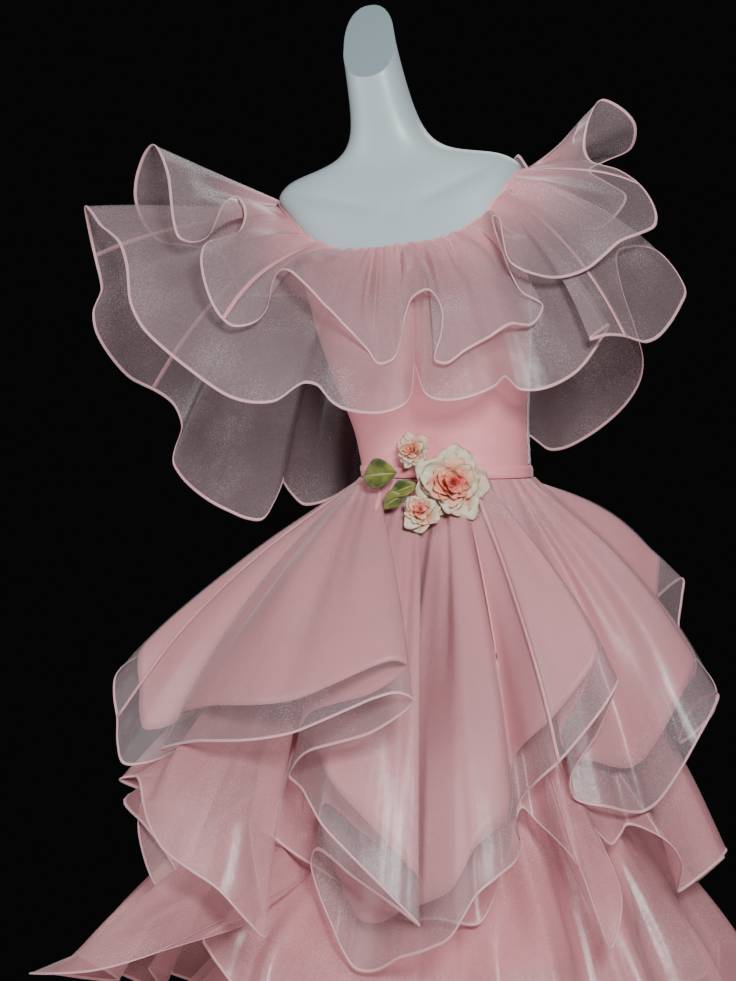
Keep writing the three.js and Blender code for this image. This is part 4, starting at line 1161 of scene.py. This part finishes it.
def floor_hem():
    """The lowest hem: even waves, fuller at the left front."""
    rows = []
    for i in range(FLOOR_WAVES * 2):
        turn = -180 + i * 180 / FLOOR_WAVES
        fuller = FLOOR_FULLER * math.cos(math.radians(turn - FULLER_TURN))
        reach = FLOOR_REACH + fuller + FLOOR_WAVE_DEEP * (1 if i % 2 else -1)
        seam = None if i else turn
        rows.append({"turn": turn, "reach": reach, "height": HEM_CLEAR, "seam": seam})
    return rows


def make_skirt():
    """The flounces from the top down, each inside those over it unless its table says over."""
    first, seams = flounce(FLOUNCE_1, TIER_STEPS, FIRST_SWELL, 0, 0, waist_seam,
                           lambda points, share, over: keep_between(points, [], FIRST_STANDOFF * share))
    outer = [least_reach(first)]
    make_lining(add_sheet("flounce_1", "top_flounce", first, seams, ORGANZA))
    for row in TIERS:
        drop = row["drop"]
        coarse, seams = flounce(
            row["hem"], TIER_STEPS, row["swell"], 0, 0,
            lambda turn: underskirt_point(turn, drop, TIER_CLEAR),
            lambda points, share, over: keep_between(points, outer, TIER_STANDOFF, over))
        outer.append(least_reach(coarse))
        add_sheet(row["sheet"], row["piece"], coarse, seams, ORGANZA_PAINTED_BOUNCE)


def make_ruffles():
    """The two ruffles, sewn to the neckline's strip one above the other."""
    for row in RUFFLES:
        seam = lambda turn: on_form((turn + 180) % 360 - 180, neck_rise(turn) - row["below"],
                                    row["clear"])
        coarse, seams = flounce(row["hem"], RUFFLE_STEPS, RUFFLE_SWELL, row["lift"],
                                COLLAR_CENTRE, seam)
        add_sheet(row["sheet"], row["piece"], coarse, seams, ORGANZA)


def seated(points, row, spin):
    """Places a flower's own points, facing out from the waist and tipped up."""
    out = polar(row["turn"], math.cos(rad(row["tip"])), math.sin(rad(row["tip"])))
    side = np.cross([0, 0, 1], out)
    side /= np.linalg.norm(side)
    up = np.cross(out, side)
    c, s = math.cos(rad(spin)), math.sin(rad(spin))
    x, y, z = points[..., 0], points[..., 1], points[..., 2]
    turned = np.stack([x * c - y * s, x * s + y * c, z], -1)
    place = polar(row["turn"], row["reach"], WAIST_HEIGHT + row["rise"])
    return place + turned[..., :1] * side + turned[..., 1:2] * up + turned[..., 2:] * out


def grow(pair, share):
    """A value that starts at the pair's first number and grows by its second."""
    return pair[0] + pair[1] * share


def petal(angle, radius, start, open_angle, wide, cup, wave, phase):
    """One silk petal: it rises from near the flower's heart, opens and curls back at its rim."""
    v = np.linspace(0, 1, PETAL_STEPS)[:, None]
    u = np.linspace(-1, 1, PETAL_COLUMNS)[None, :]
    steep = rad(open_angle) * (1 - v ** 2 * PETAL_OPENS) - rad(PETAL_CURL) * v ** 5
    step = (radius - start) / PETAL_STEPS / max(math.cos(rad(open_angle) * 0.6), 0.35)
    out = start + np.cumsum(np.cos(steep) * step, 0)
    high = np.cumsum(np.sin(steep) * step, 0)
    half = wide * np.sin(np.pi * grow(PETAL_OUTLINE, v)) ** 0.8 * (1 - PETAL_BLUNT * v ** 6)
    round_by = u * half / np.maximum(out, radius * 0.3)
    ripple = (wave * v ** 2 * np.sin(u * PETAL_RIPPLE + phase)
              + wave * 0.6 * v ** 3 * np.sin(u * PETAL_FINE_RIPPLE + 2 * phase))
    far = out * (1 - 0.10 * u ** 2 * v) + wave * 0.5 * v * np.sin(3 * u + phase)
    turn = rad(angle) + round_by
    points = np.stack(np.broadcast_arrays(far * np.cos(turn), far * np.sin(turn),
                                          high + cup * u ** 2 * v + ripple), -1)
    rim = np.minimum(1 - np.abs(u) + 0 * v, (1 - v) + 0 * u)
    return points, v + 0 * u, rim


def make_flower(row):
    """A rose of rings of petals, upright at its heart and open at its edge."""
    points, faces, places, start = [], [], [], 0
    radius = row["radius"]
    for ring in range(row["rings"]):
        share = (ring + RING_START) / row["rings"]
        count = HEART_PETALS + ring
        for k in range(count):
            phase = 1.7 * k + 2.3 * ring + row["spin"]
            jitter = math.sin(phase * 2.1)
            angle = (k + 0.5 * (ring % 2)) * 360 / count + ANGLE_JITTER * jitter
            uneven = 1 + LENGTH_JITTER * math.sin(phase * 1.3)
            length = radius * grow(RING_LENGTH, share ** 1.1) * uneven
            part, along, rim = petal(
                angle, length, radius * RING_APART * (1 + ring),
                grow(RING_OPEN, share) + OPEN_JITTER * jitter, radius * grow(RING_WIDE, share),
                radius * grow(RING_CUP, share), radius * grow(RING_WAVE, share), phase)
            part[..., 2] += radius * grow(RING_HIGH, 1 - share) + PETAL_OVERLAP * k / count
            heart = np.clip(grow(RING_COLOUR, share) + 0.30 * (along - 0.5) + 0.1 * jitter, 0, 1)
            wall, wall_faces = shell_parts(part, PETAL_HALF_THICK, PETAL_HALF_THICK, False)
            places += [np.stack([heart, rim], -1).reshape(-1, 2)] * 2
            points.append(wall)
            faces.append(wall_faces + start)
            start += len(wall)
    placed = seated(np.concatenate(points), row, row["spin"])
    obj = make_object(row["name"], placed, np.concatenate(faces), np.concatenate(places))
    return finish_piece(obj, PETAL, "petal", row["node"])


def make_leaf(row):
    """A silk leaf, folded along its middle, with a wavy edge and its tip bent down."""
    v = np.linspace(0, 1, LEAF_STEPS)[:, None]
    u = np.linspace(-1, 1, LEAF_COLUMNS)[None, :]
    half = row["wide"] / 2 * np.sin(np.pi * np.clip(grow(LEAF_OUTLINE, v ** 0.8), 0, 1)) * 1.05
    wave = LEAF_WAVE * np.sin(9 * v + 2 * u) * np.abs(u)
    lift = np.abs(u) * half * LEAF_FOLD + wave + LEAF_ARCH * np.sin(np.pi * v) - LEAF_DROP * v ** 3
    points = np.stack(np.broadcast_arrays(u * half, -row["long"] * v, lift + LEAF_CLEAR), -1)
    rim = np.minimum(1 - np.abs(u), 4 * (1 - v) + 0 * u)
    places = np.stack(np.broadcast_arrays(np.abs(u) + 0 * v, rim), -1).reshape(-1, 2)
    placed = seated(points, row, row["points"] + 180)
    leaf = shell(row["name"], placed, LEAF_HALF_THICK, LEAF_HALF_THICK, False, places)
    return finish_piece(leaf, LEAF, "leaf", row["node"])


def area_light(name, place, target, size, power):
    """A round soft light that faces a point."""
    light = bpy.data.lights.new(name, "AREA")
    light.shape = "DISK"
    light.size = size
    light.energy = power
    obj = bpy.data.objects.new(name, light)
    bpy.context.collection.objects.link(obj)
    obj.location = place
    obj.rotation_euler = (Vector(target) - Vector(place)).to_track_quat("-Z", "Y").to_euler()


def make_room():
    """A plain pale floor in a dark room, with three soft lights."""
    bpy.ops.object.select_all(action="DESELECT")
    bpy.ops.mesh.primitive_cylinder_add(
        vertices=ROUND_SIDES, radius=FLOOR_RADIUS, depth=FLOOR_THICK,
        location=(0, 0, -FLOOR_THICK / 2 - FLOOR_BELOW))
    floor = bpy.context.object
    floor.name = "pale_floor"
    floor.data.materials.append(Paint("pale floor").surface(
        {"Base Color": (0.72, 0.72, 0.72, 1), "Roughness": 0.8}))
    world = bpy.data.worlds.new("dark room")
    bpy.context.scene.world = world
    world.use_nodes = True
    world.node_tree.nodes["Background"].inputs["Color"].default_value = ROOM_COLOUR
    for name, place, aim, size, power in LIGHTS:
        area_light(name, place, (0, 0, aim), size, power)


def make_camera():
    """The camera, at the height of the bodice and round towards the gown's left."""
    data = bpy.data.cameras.new("camera")
    camera = bpy.data.objects.new("camera", data)
    bpy.context.collection.objects.link(camera)
    data.lens = CAMERA_LENS
    data.sensor_width = CAMERA_SENSOR
    data.dof.use_dof = False
    around = math.radians(CAMERA_AZIMUTH)
    camera.location = (math.sin(around) * CAMERA_AWAY, -math.cos(around) * CAMERA_AWAY,
                       WAIST_HEIGHT * MM + CAMERA_RISE)
    camera.rotation_euler = (math.radians(90 + CAMERA_PITCH), 0,
                             math.radians(CAMERA_AZIMUTH + CAMERA_YAW))
    bpy.context.scene.camera = camera


TIERS = table(["sheet", "piece", "hem", "drop", "swell"], [
  ["flounce_2", "second_flounce", FLOUNCE_2, 180, TIER_SWELL],
  ["flounce_3", "third_flounce", FLOUNCE_3, 430, TIER_SWELL],
  ["flounce_4", "floor_flounce", floor_hem(), 640, FLOOR_SWELL],
])

make_form()
make_stand()
bodice_panel("bodice_front_cloth", -90, 90, "bodice_front")
bodice_panel("bodice_back_right_cloth", 90, 180, "bodice_back_right")
bodice_panel("bodice_back_left_cloth", -180, -90, "bodice_back_left")
side_strip("side_facing_left", 90)
side_strip("side_facing_right", -90)
waistband()
neckline()
make_underskirt()
make_skirt()
make_ruffles()
for flower in FLOWERS:
    make_flower(flower)
for leaf in LEAF_SHAPES:
    make_leaf(leaf)
make_room()
make_camera()
bpy.context.scene.cycles.transparent_max_bounces = SHEER_LAYERS
